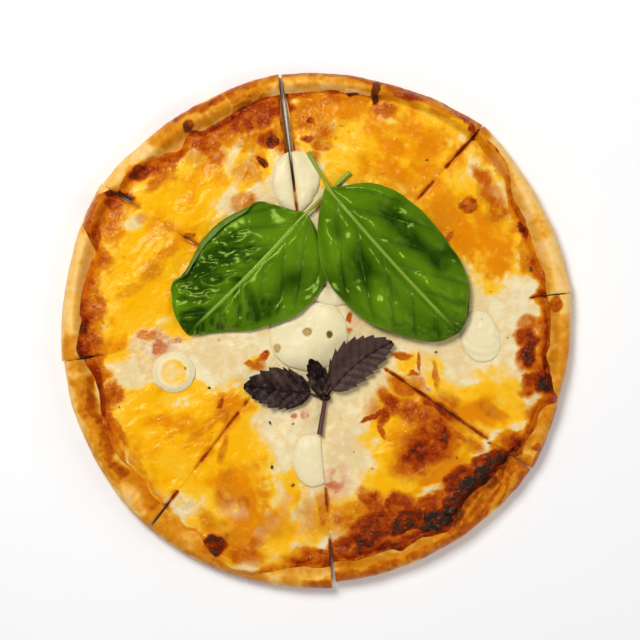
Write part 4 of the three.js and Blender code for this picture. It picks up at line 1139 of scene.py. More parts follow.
def melted_cheese(colours):
    """Pale and orange cheese, mottled, then toasted to amber, brown, red-brown and black as the browning
    rises. It is oily, and roughest where it is black."""
    s = Surface("melted_cheese")
    broad, coarse, fine, grain = s.noise(22, 2), s.noise(4.5, 4), s.noise(1.3, 4), s.noise(0.5, 3)
    orange = s.mask("orange") + (coarse - 0.5) * 0.3 + (fine - 0.5) * 0.15
    deep = s.mask("deep") + (coarse - 0.5) * 0.7
    creamy = (coarse + (broad - 0.5) * 0.6).eased(0.32, 0.66)
    color = s.mix(creamy, colours.pale_cheese, colours.cream_cheese)
    warm = (s.noise(8, 4) + (fine - 0.5) * 0.3).eased(0.5, 0.72)
    color = s.mix(warm * 0.5, color, colours.warm_cheese)
    color = s.toned(orange, color, colours, ORANGE_TONES)
    color = s.mix(deep.eased(0.2, 1.0) * orange.eased(0.3, 0.7), color, colours.deep_cheese)
    color = s.toned(s.mask("tomato") + (fine - 0.5) * 0.35, color, colours, TOMATO_TONES)
    browned = s.mask("browned") * (0.82 + fine * 0.36) + (grain - 0.5) * 0.06
    color = s.toned(browned, color, colours, BROWNED_TONES)
    speck = (1 - s.bubbles(2.6).eased(0.0, 0.14)) * fine.eased(0.5, 0.65)
    color = s.mix(speck * 0.3, color, colours.toasted)
    roughness = 0.24 + (fine - 0.5) * 0.25 + browned.eased(0.75, 0.95) * 0.12
    bubbly = browned.eased(0.3, 0.7) + s.mask("crusty") * 0.4
    height = fine * 0.3 + s.noise(2.6, 3) * 0.8 + bubbly * (fine * 0.5 + (1 - s.bubbles(1.6)) * 0.9)
    constants = {
        "Subsurface Weight": 0.1,
        "Subsurface Radius": (1.0, 0.5, 0.15),
        "Subsurface Scale": 1.0 * MM,
        "Specular IOR Level": 0.2,
        "Specular Tint": (1.0, 0.72, 0.22, 1),
        "Coat Weight": 0.07,
        "Coat Roughness": 0.08,
    }
    return s.finish(color, roughness, s.bump(height, 0.8, 0.5), constants)


def baked_dough(colours):
    """Pale dough that turns golden, brown and dark as it is baked, with fine blisters and dry freckles."""
    s = Surface("baked_dough")
    coarse, fine, grain = s.noise(5, 4), s.noise(1.2, 4), s.noise(0.4, 2)
    baked = s.mask("baked") + (coarse - 0.5) * 0.18 + (fine - 0.5) * 0.1
    color = s.toned(baked, colours.pale_dough, colours, DOUGH_TONES)
    freckle = (1 - s.bubbles(1.6).eased(0.05, 0.3)) * coarse.eased(0.45, 0.6)
    color = s.mix(freckle * 0.25, color, colours.brown_dough)
    crumb = s.mask("crumb")
    color = s.mix(crumb, color, s.mix(fine, colours.pale_dough, colours.crumb))
    height = fine * 0.6 + grain * 0.25 + coarse * 0.7 + crumb * s.bubbles(1.8) * 1.5
    constants = {
        "Subsurface Weight": 0.06,
        "Subsurface Radius": (1.0, 0.5, 0.2),
        "Subsurface Scale": 0.8 * MM,
        "Specular IOR Level": 0.14,
        "Specular Tint": (1.0, 0.7, 0.25, 1),
    }
    return s.finish(color, 0.42 + (fine - 0.5) * 0.3, s.bump(height, 0.5, 0.4), constants)


def soft_cheese(colours):
    """Smooth moist white cheese with faint veins, brown oil in its holes and stains, and painted shade in the
    middle of the deeper holes.
    """
    s = Surface("soft_cheese")
    coarse, fine = s.noise(7, 3), s.noise(1.6, 3)
    color = s.mix(coarse.eased(0.3, 0.7), colours.soft_cheese, colours.pale_cheese)
    color = s.mix(s.mask("yolk") * (0.7 + fine * 0.6), color, colours.yellow_cheese)
    stain = s.mask("stain") * (0.6 + fine * 0.7)
    color = s.toned(stain, color, colours, STAIN_TONES)
    constants = {
        "Subsurface Weight": 0.2,
        "Subsurface Radius": (1.0, 0.7, 0.35),
        "Subsurface Scale": 1.6 * MM,
        "Specular IOR Level": 0.24,
        "Coat Weight": 0.05,
        "Coat Roughness": 0.2,
    }
    return s.finish(color, 0.42 + (fine - 0.5) * 0.2, s.bump(fine * 0.5 + coarse, 0.4, 0.5), constants)


def green_leaf(colours):
    """Glossy green, lighter between the veins as painted light on the raised fields and painted shade in the
    vein grooves, with a pale midrib and a dull underside, whose mottled band on the rolled margin also stands
    for a painted sheen.
    """
    s = Surface("green_leaf")
    coarse, fine = s.noise(9, 3), s.noise(0.9, 4)
    color = s.mix(s.mask("light") * (0.75 + coarse * 0.5), colours.dark_leaf, colours.light_leaf)
    color = s.mix(coarse.eased(0.45, 0.75) * 0.3, color, colours.light_leaf)
    color = s.mix(s.mask("vein"), color, colours.leaf_vein)
    color = s.mix(s.mask("pale"), color, colours.leaf_underside)
    color = s.mix(s.mask("burnt"), color, colours.charred)
    roughness = 0.21 + (fine - 0.5) * 0.12 + s.mask("pale") * 0.4
    height = fine * 0.08 + s.noise(3.4, 2)
    constants = {
        "Subsurface Weight": 0.05,
        "Subsurface Radius": (0.3, 1.0, 0.1),
        "Subsurface Scale": 0.6 * MM,
        "Specular IOR Level": 0.24,
        "Specular Tint": (0.75, 1.0, 0.16, 1),
    }
    return s.finish(color, roughness, s.bump(height, 0.2, 0.4), constants)


def purple_leaf(colours):
    """Nearly black purple with a painted grey sheen on its ridges and raised fields, and a mauve stem."""
    s = Surface("purple_leaf")
    coarse, fine = s.noise(5, 3), s.noise(0.8, 4)
    sheen = (s.mask("light") + (coarse - 0.5) * 0.6).eased(0.1, 1.0)
    color = s.mix(sheen, colours.purple_leaf, colours.purple_sheen)
    color = s.mix(s.mask("stem"), color, colours.purple_stem)
    height = fine * 0.6 + s.noise(2.0, 3)
    constants = {"Specular IOR Level": 0.15}
    return s.finish(color, 0.4 + (fine - 0.5) * 0.3, s.bump(height, 0.7, 0.45), constants)


def dried_herb(colours):
    """Dull dark green with charred spots."""
    s = Surface("dried_herb")
    fine = s.noise(0.5, 2)
    color = s.mix(s.noise(3, 2).eased(0.35, 0.65), colours.herb, colours.charred)
    return s.finish(color, 0.6 + fine * 0.2, s.bump(fine, 0.5, 0.2), {"Specular IOR Level": 0.05})


def plain_floor(colours):
    """A pale floor that hardly varies."""
    s = Surface("plain_floor")
    color = s.mix(s.noise(60, 2), colours.floor, [0.98 * c for c in colours.floor])
    return s.finish(color, 0.7 + s.noise(40, 2) * 0.1, s.bump(s.noise(3, 2), 0.02, 0.2), {})


# ---- Pieces ----
COLUMNS = 200
CHEESE_ROWS = 235
CHEESE_ROWS_CROWD = 0.92  # power that crowds the rows a little towards the edge
COARSE_STEP = 5  # every fifth point of the fine grid is also on the underside
CUT_SHARES = [0, 0.0015, 0.004, 0.008, 0.014]  # columns crowd beside a cut
# Points of the crust's outline: under it, up its lower side, on to the crown, down inside and inwards.
UNDER_STEPS, SIDE_STEPS, OUTSIDE_STEPS, INSIDE_STEPS, FLAT_STEPS = 9, 11, 16, 24, 7
# Rings that close a cut face: how far in each lies and how much crumb it shows.
CUT_RINGS = ((0.25, 0.2), (0.55, 0.9), (0.8, 1.0))
CUT_FACE_BAKED = 0.1
SHARP = math.radians(50)


def columns_across(count):
    """Shares of the way across a slice: a few crowded beside each cut, and the rest evenly spaced."""
    between = np.linspace(CUT_SHARES[-1], 1 - CUT_SHARES[-1], count + 3 - 2 * len(CUT_SHARES))[1:-1]
    return np.concatenate([CUT_SHARES, between, 1 - np.array(CUT_SHARES[::-1])])


def with_underside(upper, lower):
    """Numbers for the points of a fine grid, then for the inner points of its coarse underside."""
    inner = lower[::COARSE_STEP, ::COARSE_STEP][1:-1, 1:-1]
    rest = upper.shape[2:]
    return np.concatenate([upper.reshape(-1, *rest), inner.reshape(-1, *rest)])


def underside(columns, rows):
    """Faces of the coarse underside of a fine grid, facing down. Its inner points follow the fine grid's, and
    a face at the border takes in all the fine points of its edge."""
    wide, deep = columns // COARSE_STEP, rows // COARSE_STEP
    i, j = np.meshgrid(np.arange(wide + 1), np.arange(deep + 1), indexing="ij")
    index = (i * (rows + 1) + j) * COARSE_STEP
    inner = (i > 0) & (i < wide) & (j > 0) & (j < deep)
    index[inner] = (columns + 1) * (rows + 1) + np.arange(inner.sum())
    corners = np.stack([index[:-1, :-1], index[:-1, 1:], index[1:, 1:], index[1:, :-1]], -1)
    plain = np.zeros((wide, deep), bool)
    plain[1:-1, 1:-1] = True
    steps = (1, rows + 1, -1, -rows - 1)
    others = []
    for i, j in zip(*np.nonzero(~plain)):
        at_border = (i == 0, j == deep - 1, i == wide - 1, j == 0)
        face = []
        for corner, step, fine in zip(corners[i, j], steps, at_border):
            face += [corner + k * step for k in range(COARSE_STEP if fine else 1)]
        others.append(face)
    return corners[plain], others


def build_cheese(pizza, piece, material):
    """The cheese of one slice: a grid over its top whose border turns down to the underside, and a coarse
    underside that shares every fifth point of the border."""
    t = columns_across(COLUMNS)[:, None]
    _, _, _, edge = pizza.rim(piece, t)
    v = np.linspace(0, 1, CHEESE_ROWS - 1)[None, :]
    r = np.pad(SLICE_TIP + (edge - SLICE_TIP) * v**CHEESE_ROWS_CROWD, 1, mode="edge")
    t = np.broadcast_to(np.pad(t, ((1, 1), (0, 0)), mode="edge"), r.shape)
    x, y = pizza.place(piece, t, r)
    angle, _, _, edge = pizza.rim(piece, t)
    inside = np.maximum(edge - r, 0)
    masks = cheese_masks(x, y, piece.grain, angle, inside)
    beside, parted = pizza.from_cut(piece, t, r)
    shoulder = 0.75 * ease(parted, 0, KERF) * bell(beside, 0.8)
    shoulder = shoulder + 0.35 * ease(parted, 0, 0.5) * bell(beside, 3)
    detail = cheese_detail(x, y, piece.grain, masks) * ease(inside, 0, 1.6) * pizza.roughness
    bottom = pizza.dough_top(piece, t, r) + UNDER_CHEESE
    top = pizza.cheese_top(piece, t, r) + detail + blisters(x, y) - shoulder
    z = np.maximum(top, bottom + THINNEST_CHEESE)
    z[[0, -1]], z[:, [0, -1]] = bottom[[0, -1]], bottom[:, [0, -1]]
    # Painted shade of an open cut's gap: the cheese beside it is darkened towards brown and deep orange.
    open_cut = ease(parted, 0.05, KERF)
    cut_gap_shade = 0.55 * open_cut * bell(beside, 1.0) * (1 + layer("cut gap shade", x, y))
    masks["browned"] = np.maximum(masks["browned"], cut_gap_shade)
    masks["deep"] = np.maximum(masks["deep"], bell(beside, 3) * open_cut)
    columns, rows = r.shape[0] - 1, r.shape[1] - 1
    under, others = underside(columns, rows)
    return make_piece(
        f"melted_cheese_{piece.number}",
        with_underside(np.stack([x, y, z], -1), np.stack([x, y, bottom], -1)),
        np.concatenate([grid_faces(columns, rows), under]),
        others,
        {name: with_underside(values, values) for name, values in masks.items()},
        material,
        "melted_cheese",
        [f"cheese_{piece.number}"],
    )


def crust_outline(pizza, piece, t):
    """The closed outline of the crust in r and z at each share of the way across the slice: out under it, up
    its side, over the rim and in to the tip."""
    _, outer, foot, _ = pizza.rim(piece, t)
    under = blend(SLICE_TIP, outer - UNDERCUT, np.linspace(0, 1, UNDER_STEPS)[None, :])
    turn = np.linspace(0, math.pi / 2, SIDE_STEPS)[None, 1:]
    side_r = outer - UNDERCUT * (1 - np.sin(turn))
    side_z = pizza.dough * (1 - np.cos(turn)) + side_r * 0
    outside = CROWN + (1 - CROWN) * np.cos(np.linspace(0, math.pi / 2, OUTSIDE_STEPS))[1:]
    across = np.concatenate([outside, CROWN * np.linspace(1, 0, INSIDE_STEPS)[1:]])
    flat = blend(foot, SLICE_TIP, np.linspace(0, 1, FLAT_STEPS)[None, 1:])
    top_r = np.concatenate([foot + (outer - foot) * across[None, :], flat], 1)
    top_z = pizza.dough_top(piece, np.broadcast_to(t, top_r.shape), top_r)
    return np.concatenate([under, side_r, top_r], 1), np.concatenate([under * 0, side_z, top_z], 1)


def build_crust(pizza, piece, material):
    """The dough of one slice: its outline carried across the slice, with the cut faces closed by rings that
    step inwards, so that the pale crumb shows there."""
    t = columns_across(COLUMNS)[:, None]
    angle, outer, _, edge = pizza.rim(piece, t)
    r, z = crust_outline(pizza, piece, t)
    t = np.broadcast_to(t, r.shape)
    x, y = pizza.place(piece, t, r)
    beside, _ = pizza.from_cut(piece, t, r)
    z = z + blisters(x, y) * (z > pizza.dough * 1.3)
    z = np.where(z > pizza.dough * 0.9, z - CUT_RIM_SINKS * bell(beside, 0.7), z)
    across = np.clip((r - edge) / (outer - edge), 0, 1.0)
    low = np.clip(1 - z / pizza.dough, 0, 1)
    baked = rim_masks(np.broadcast_to(angle, r.shape), across, x, y) + 0.1 * low
    baked = np.where(z < 0.01, 0.34 + layer("baked underside", x, y), baked)
    columns, size = r.shape
    points, crumb = [np.stack([x, y, z], -1).reshape(-1, 3)], [np.zeros(r.size)]
    quads, others = [ring_faces(columns, size)], []
    count = r.size
    for column, facing in ((0, 1), (columns - 1, -1)):
        loop = np.stack([r[column], z[column]], -1)
        ahead = np.roll(loop, -1, 0) - np.roll(loop, 1, 0)
        inward = np.stack([-ahead[:, 1], ahead[:, 0]], -1)
        inward /= np.linalg.norm(inward, axis=1)[:, None] + 1e-9
        previous = column * size + np.arange(size)
        for depth, pale in CUT_RINGS:
            ring = np.maximum(loop + depth * inward, (SLICE_TIP + 0.05, 0.1))
            ring_x, ring_y = pizza.place(piece, np.full(size, t[column, 0]), ring[:, 0])
            points.append(np.stack([ring_x, ring_y, ring[:, 1]], -1))
            crumb.append(np.full(size, pale))
            current = count + np.arange(size)
            strip = [previous, np.roll(previous, -1), np.roll(current, -1), current]
            quads.append(np.stack(strip[::facing], -1))
            previous = current
            count += size
        others.append(list(previous)[::facing])
    baked = np.append(baked, np.full(count - r.size, CUT_FACE_BAKED))
    return make_piece(
        f"baked_crust_{piece.number}",
        np.concatenate(points),
        np.concatenate(quads),
        others,
        {"baked": baked, "crumb": np.concatenate(crumb)},
        material,
        "baked_dough",
        [f"crust_{piece.number}"],
        SHARP,
    )


def cut_outline(pizza, soft, direction, reach):
    """The outline of a round that a cut has sliced straight, as directions and reaches from a middle well
    inside what is left, and that middle."""
    number, side = soft.cut
    cut = CUTS[number]
    normal = math.radians(cut.angle + 90 * side)
    nx, ny = math.cos(normal), math.sin(normal)
    arm_x, arm_y = soft.x - CUT_CENTRE[0], soft.y - CUT_CENTRE[1]
    from_cut = arm_x * nx + arm_y * ny
    half_gap = pizza.gap(cut, np.array([math.hypot(arm_x, arm_y)]))[0] / 2 + CUT_ROUND_CLEAR
    inset = max(half_gap + CUT_ROUND_INSET * soft.half[0] - from_cut, 0)
    middle_x, middle_y = soft.x + inset * nx, soft.y + inset * ny
    edge_x = soft.x + reach * np.cos(direction) - middle_x
    edge_y = soft.y + reach * np.sin(direction) - middle_y
    direction, reach = np.arctan2(edge_y, edge_x), np.hypot(edge_x, edge_y)
    towards = -(np.cos(direction) * nx + np.sin(direction) * ny)
    away = towards <= EDGE_ON
    limit = (from_cut + inset - half_gap) / np.where(away, 1, towards)
    return direction, np.where(away, reach, np.minimum(reach, limit)), middle_x, middle_y


def build_round(pizza, soft, material):
    """A round of soft cheese: a rounded profile carried round a squarish ellipse that a cut may have sliced
    straight. It follows the cheese under it, and its two poles are closed by single points."""
    around, steps = ROUND_GRID
    turn = np.arange(around) * 2 * math.pi / around
    a, b, n = *soft.half, soft.square
    reach = (np.abs(np.cos(turn) / a) ** n + np.abs(np.sin(turn) / b) ** n) ** (-1 / n)
    direction = turn + math.radians(soft.turn)
    reach = reach * (1 + layer("round outline", 10 * np.cos(direction), 10 * np.sin(direction) + soft.x))
    middle_x, middle_y = soft.x, soft.y
    if soft.cut:
        direction, reach, middle_x, middle_y = cut_outline(pizza, soft, direction, reach)
    share = np.linspace(0, 1, steps)[1:]
    back = share[::-1][::ROUND_UNDERSIDE_STEP][1:]
    dome = np.maximum(1 - share**2.8, 0) ** 0.7 * (1.06 - 0.06 * share**2)
    out = np.concatenate([share**0.9, np.ones(len(ROUND_SIDE)), back])
    level = np.concatenate([dome, ROUND_SIDE, np.full(len(back), ROUND_BOTTOM)])
    above = level[None, :] > 0
    x = middle_x + reach[:, None] * np.cos(direction)[:, None] * out[None, :]
    y = middle_y + reach[:, None] * np.sin(direction)[:, None] * out[None, :]
    z = pizza.top(x, y) + ROUND_LIFT + soft.thick * level[None, :] + layer("round lumps", x, y) * above
    stain, yolk = np.zeros_like(x), np.zeros_like(x)
    for hole_x, hole_y, length, width, depth, brown in ROUND_HOLES:
        away = np.hypot((x - hole_x) / length, (y - hole_y) / width) + layer("hole outline", x, y)
        z = z - depth * ease(away, 1.0, 0.55) * above
        # The stain is also painted shade in the middle of a deep hole.
        stain = np.maximum(stain, brown * ease(away, 1.05, 0.6))
    if soft.name == RINGED_ROUND:
        away = np.hypot(x - soft.x, y - soft.y) / soft.half[0]
        z = z + RING_HEIGHT * bell(away - RING_AT, RING_WIDTH) - RING_DIP * ease(away, 0.6, 0.4)
        yolk = ease(away + layer("yolk outline", x, y), 0.7, 0.5) * (0.85 + layer("yolk clouds", x, y))
    if soft.name == RIPPLED_ROUND:
        u, v = turned(x, y, soft.x, soft.y, soft.turn)
        from_middle = np.hypot(u - RIPPLE_CENTRE[0], v - RIPPLE_CENTRE[1])
        z = z + RIPPLE_HEIGHT * np.sin(RIPPLE_TURN * from_middle) * above
    size = out.size
    i, k = np.meshgrid(np.arange(around), np.arange(size - 1), indexing="ij")
    p, q = i * size + k, ((i + 1) % around) * size + k
    quads = np.stack([p, p + 1, q + 1, q], -1).reshape(-1, 4)
    hubs = [[middle_x, middle_y, z[:, 0].mean()], [middle_x, middle_y, z[:, -1].mean()]]
    ring = np.arange(around) * size
    after = np.roll(ring, -1)
    top_fan = np.stack([np.full(around, x.size), ring, after], -1)
    low_fan = np.stack([np.full(around, x.size + 1), after + size - 1, ring + size - 1], -1)
    return make_piece(
        f"soft_cheese_{soft.name}",
        np.concatenate([np.stack([x, y, z], -1).reshape(-1, 3), hubs]),
        quads,
        [*top_fan, *low_fan],
        {"stain": np.append(stain, [stain[0, 0], 0]), "yolk": np.append(yolk, [yolk[0, 0], 0])},
        material,
        "soft_cheese",
        [f"cheese_round_{soft.name}"],
    )


def blade_place(leaf_base, leaf_tip, bend, s, side):
    """x and y of a place on a blade: s along it, side to the left of a midrib that bows by a half sine."""
    base, tip = np.array(leaf_base, float), np.array(leaf_tip, float)
    along = tip - base
    left = np.array([-along[1], along[0]]) / np.linalg.norm(along)
    off = side + bend * np.sin(math.pi * s)
    return base[0] + along[0] * s + left[0] * off, base[1] + along[1] * s + left[1] * off


def left_leaf_relief(leaf, x, y, u, s, inner, puff, quilt, fold):
    """Height and light of the left leaf: creases run slantwise through its fields. The light is painted light
    and shade: darker in the creased parts and the listed stretches, lighter on raised fields and crease
    ridges.
    """
    crease = ease(u, 0.95, 0.7) * ease(u, -0.84, -0.6)
    crease = crease * np.where(u > 0, ease(s, 0.42, 0.66), ease(s, 0.25, 0.5))
    tilt = math.degrees(math.atan2(leaf.tip[1] - leaf.base[1], leaf.tip[0] - leaf.base[0]))
    on_left = folded("creases on the left", x, y, tilt + CREASE_LEAN)
    on_right = folded("creases on the right", x, y, tilt - CREASE_LEAN)
    ridge = crease * (0.4 - np.abs(np.where(u > 0, on_left, on_right)))
    height = 0.5 * puff + inner * (0.15 * quilt + CREASE_HEIGHT * ridge + 1.2 * fold)
    light = 0.74 + 0.4 * fold - 0.6 * crease + 0.2 * puff + 1.2 * ridge + sum_of_bells(LEFT_LEAF_LIGHT, x, y)
    for start, end, width, strength in LEFT_LEAF_SHADE:
        light = light - strength * bell(distance_to_line(x, y, start, end), width)
    return height, light


def right_leaf_relief(x, y, u, s, inner, puff, quilt, fold):
    """Height and light of the right leaf: its fields are raised between the veins, and broad swells and
    hollows lie across them. Its light is painted light and shade: darker in the hollows and the gutter,
    lighter where folds and fields are raised, with a painted highlight along the midrib."""
    hollow = mounds(RIGHT_LEAF_HOLLOWS, u, s)
    gutter = mounds(RIGHT_LEAF_GUTTER, u + 0.1 * np.sin(9 * s), s)
    height = 1.2 * puff + inner * (0.2 * quilt + 1.9 * fold + layer("leaf dimples", x, y))
    height = height + mounds(RIGHT_LEAF_SWELLS, u, s) - HOLLOW_DEPTH * hollow - GUTTER_DEPTH * gutter
    light = 0.4 + 0.5 * fold + 0.25 * puff - 0.9 * hollow - 0.35 * gutter + 0.16 * ease(np.abs(u), 0.7, 0.95)
    return height, light + 0.35 * ease(s, 0.3, 0.05) + mounds(RIGHT_LEAF_GLEAM, u, s)


def leaf_stalk(pizza, leaf, inner, root):
    """The stalk: a tube from inside the blade through its root to the stalk's end, which comes down to lie
    just above the pizza."""
    path = [inner, root]
    root_clear = root[2] - pizza.point_above(root[:2], 0)[2]
    for share in STALK_SHARES:
        clear = max(root_clear * (1 - share), STALK_RADIUS + STALK_CLEAR + leaf.lift * 0.5)
        path.append(pizza.point_above(blend(root[:2], np.array(leaf.stalk), share), clear))
    return tube(smooth_path(path, STALK_STEPS), np.linspace(*STALK_RADII, STALK_STEPS), STALK_SIDES)


def build_basil(pizza, leaf, material):
    """A basil leaf: a thin closed sheet on nine half widths a side, with a stalk. Side veins leave the midrib
    and bend towards the tip. The left leaf is creased, its edge rolled. The right one has raised fields."""
    crumpled = leaf.name == "left"
    u = np.linspace(1, -1, LEAF_GRID[0])[:, None]
    q = np.linspace(0, 1, LEAF_GRID[1])[None, :]
    s = 0.5 - 0.5 * np.cos(math.pi * q) + 0 * u
    half = np.maximum(np.where(u > 0, through(leaf.left, q), through(leaf.right, q)), LEAF_NARROWEST)
    ragged = layer("leaf outline", 40 * s, 10 * np.sign(u) + 0 * s) * ease(np.abs(u), 0.7, 1)
    side = u * half * (1 + ragged)
    roll = np.zeros_like(side)
    if crumpled:
        torn = layer("torn roll", 30 * q, u * 0)
        rolled = ease(-u, 0.82 + torn, 0.98) * ease(q, 0.2, 0.34) * ease(q, 0.8, 0.66)
        roll = rolled * ROLL_TURN
        spread = 1 + 0.17 * ease(-u, 0.3, 0.9) * ease(q, 0.1, 0.34) * ease(q, 0.9, 0.66)
        side = side * spread + rolled**2 * 0.22 * half
    x, y = blade_place(leaf.base, leaf.tip, leaf.bend, s, side)
    m = np.abs(side)
    arch = leaf.arch * np.sin(math.pi * blend(0.08, 1, s)) ** 0.7 * (1 - u * u)
    ripple = leaf.ripple * np.sin(leaf.waves * 2 * math.pi * s + 2.4 * np.abs(u)) * np.abs(u)
    seat = smoothed(pizza.served_top(x, y), LEAF_SEAT_PASSES) + LEAF_CLEAR + LEAF_SPACE + leaf.lift
    z = seat + arch + np.maximum(ripple, -0.4)
    # The side vein through a point left the midrib further back, by so much of the leaf's length.
    back = (VEIN_LEAN * m + VEIN_BEND * m * m) / math.dist(leaf.base, leaf.tip)
    phase = (s - back) * SIDE_VEINS + np.where(u > 0, *VEIN_STARTS) + layer("vein drift", x, y)
    from_vein = np.abs((phase % 1) - 0.5) * 2  # 0 between veins, 1 on one
    on_vein = ease(from_vein, 0.93, 1.0) * ease(m, 0.8 * half.max(), 3)
    inner = ease(m, 0.5, 5) * ease(np.abs(u), 1.0, 0.75)
    puff = (1 - from_vein**2.5) * inner
    near, second = cells("leaf fields", x + layer("field drift", x, y), y)
    quilt = np.clip(second - near, 0, 0.5) * 2 - 0.3
    fold = layer("leaf folds", x, y)
    if crumpled:
        height, light = left_leaf_relief(leaf, x, y, u, s, inner, puff, quilt, fold)
        height = height + ROLL_RADIUS * (1 - np.cos(roll))
    else:
        height, light = right_leaf_relief(x, y, u, s, inner, puff, quilt, fold)
    z = z + height - 0.8 * bell(m, 1.5) + 0.45 * bell(m, 0.5) - 0.22 * on_vein
    # Painted shade in the grooves of the side veins.
    light = np.clip(light - 0.2 * ease(from_vein, 0.75, 1) * inner, 0, 1)
    top = np.stack([x, y, z], -1)
    midrib = ease(m, 0.95, 0.4) * ease(s, 0.97, 0.8)
    vein = np.maximum(np.maximum(0.8 * midrib, 0.22 * on_vein), 0.35 * ease(np.abs(u), 0.98, 0.995))
    # The back of the rolled margin where it turns over; its mottled pale band also stands for the frosted
    # sheen along that fold, painted in.
    pale = ease(roll, *ROLL_BACK_SHOWS) * (0.7 + layer("roll clouds", x, y))
    burnt = (0 if crumpled else 1) * ease(u, 0.86, 0.95) * ease(s, 0.9, 0.95) * ease(s, 0.995, 0.98)
    upper = {"vein": vein, "light": light, "pale": pale, "burnt": burnt}
    lower = {name: np.full(m.size, value) for name, value in BLADE_UNDERSIDE.items()}
    blade = {name: np.append(values, lower[name]) for name, values in upper.items()}
    middle = top[LEAF_GRID[0] // 2]
    stalk = leaf_stalk(pizza, leaf, middle[STALK_INSIDE], middle[STALK_ROOT])
    parts = [(*closed_sheet(top, LEAF_THICK), [], blade), (*stalk, STALK_MASKS)]
    return make_piece(
        f"basil_{leaf.name}", *merged(parts), material, "green_leaf", [f"basil_leaf_{leaf.name}"]
    )


def sprig_blade(pizza, blade, seed):
    """The grid of points of a toothed blade and its light: the half width climbs along each tooth and drops
    back at its point, and the fields between the side veins are raised. Its light is painted sheen, lighter
    on raised fields and crumples and darker in the midrib's groove, with the blade's gleam added."""
    u = np.linspace(1, -1, SPRIG_GRID[0])[:, None]
    s = np.linspace(0, 1, SPRIG_GRID[1])[None, :] + 0 * u
    widest = SPRIG_RISE / (SPRIG_RISE + SPRIG_FALL)
    share = (s / widest) ** SPRIG_RISE * ((1 - s) / (1 - widest)) ** SPRIG_FALL
    veins = blade.teeth * TEETH_PER_VEIN
    jag = s * veins + 0.15 * np.sign(u) + 0.35 * noise(3.1 * s, s * 0 + np.sign(u), 0.5, 141 + seed)
    tooth = (jag % 1) ** 1.4
    half = np.maximum(np.where(u > 0, blade.left, blade.right) * share * (0.9 + 0.17 * tooth), 0.3)
    forward = 0.03 * tooth * np.abs(u) ** 3
    x, y = blade_place(blade.base, blade.tip, blade.bend, np.minimum(s + forward, 1), u * half)
    m = np.abs(u) * half
    phase = (s - 0.75 * m / math.dist(blade.base, blade.tip)) * veins
    from_vein = np.abs((phase % 1) - 0.5) * 2
    crumple = blade.crumple * (fractal(x, y, 7, 3, 121 + seed) + 0.5 * fractal(x, y, 2.6, 2, 131 + seed))
    z = pizza.served_top(x, y) + LEAF_CLEAR + LEAF_SPACE + blade.lift + 0.9 * np.abs(u)
    z = z + 1.3 * crumple + 0.35 * (1 - from_vein**2) - 0.5 * bell(m, 0.6) + 0.5 * tooth * np.abs(u) ** 2
    light = 0.25 + 0.45 * (1 - from_vein) + 0.4 * crumple - 0.6 * bell(m, 0.5) + blade.gleam
    return np.stack([x, y, z], -1), np.clip(light, 0, 1)


def build_sprig(pizza, material):
    """The purple sprig: toothed blades, a bud of small folded ones, and tubes for the stem and stalks."""
    top = pizza.point_above(BUD, BUD_CLEAR)
    stem_middle = pizza.point_above(blend(np.array(BUD), np.array(STEM_END), 0.5), SPRIG_BEND_CLEAR)
    stem = smooth_path([pizza.point_above(STEM_END, SPRIG_STEM_CLEAR), stem_middle, top], SPRIG_STEM_STEPS)
    radii = np.linspace(*SPRIG_STEM_RADII, SPRIG_STEM_STEPS)
    parts = [(*tube(stem, radii, SPRIG_STEM_SIDES), {"light": 0.3, "stem": 1})]
    for seed, blade in enumerate(SPRIG_LEAVES):
        sheet, light = sprig_blade(pizza, blade, seed)
        parts.append((*closed_sheet(sheet, SPRIG_THICK), [], {"light": np.tile(light.ravel(), 2), "stem": 0}))
        middle = SPRIG_GRID[0] // 2
        sunk = np.array([0, 0, SPRIG_STALK_SUNK])
        root = np.array([*blade.base, sheet[middle, SPRIG_STALK_ROOT, 2]]) - sunk
        path = [top, blend(top, root, 0.5) + sunk, root, sheet[middle, SPRIG_STALK_END] - sunk]
        stalk = smooth_path(path, SPRIG_STALK_STEPS)
        radii = np.linspace(*SPRIG_STALK_RADII, SPRIG_STALK_STEPS)
        parts.append((*tube(stalk, radii, SPRIG_STALK_SIDES), {"light": 0.2, "stem": 0.45}))
    q = np.linspace(0, 1, BUD_STEPS)
    for number in range(BUD_LEAVES):
        angle = number * BUD_TURN
        out = BUD_WIDTH * np.sin(math.pi * q) ** 0.6
        bud_x = out * math.cos(angle) * q + 1.2 * math.sin(angle) * q
        path = top + np.stack([bud_x, BUD_LENGTH * (q - 0.35), 0.9 * q * (1.3 - q)], -1)
        radii = 0.25 + BUD_RADIUS * np.sin(math.pi * np.clip(q, 0.03, 0.97))
        light = 0.15 + 0.1 * (number % 3)
        parts.append((*tube(path, radii, SPRIG_STALK_SIDES), {"light": light, "stem": 0}))
    return make_piece("purple_sprig", *merged(parts), material, "purple_leaf", ["purple_basil_sprig"])


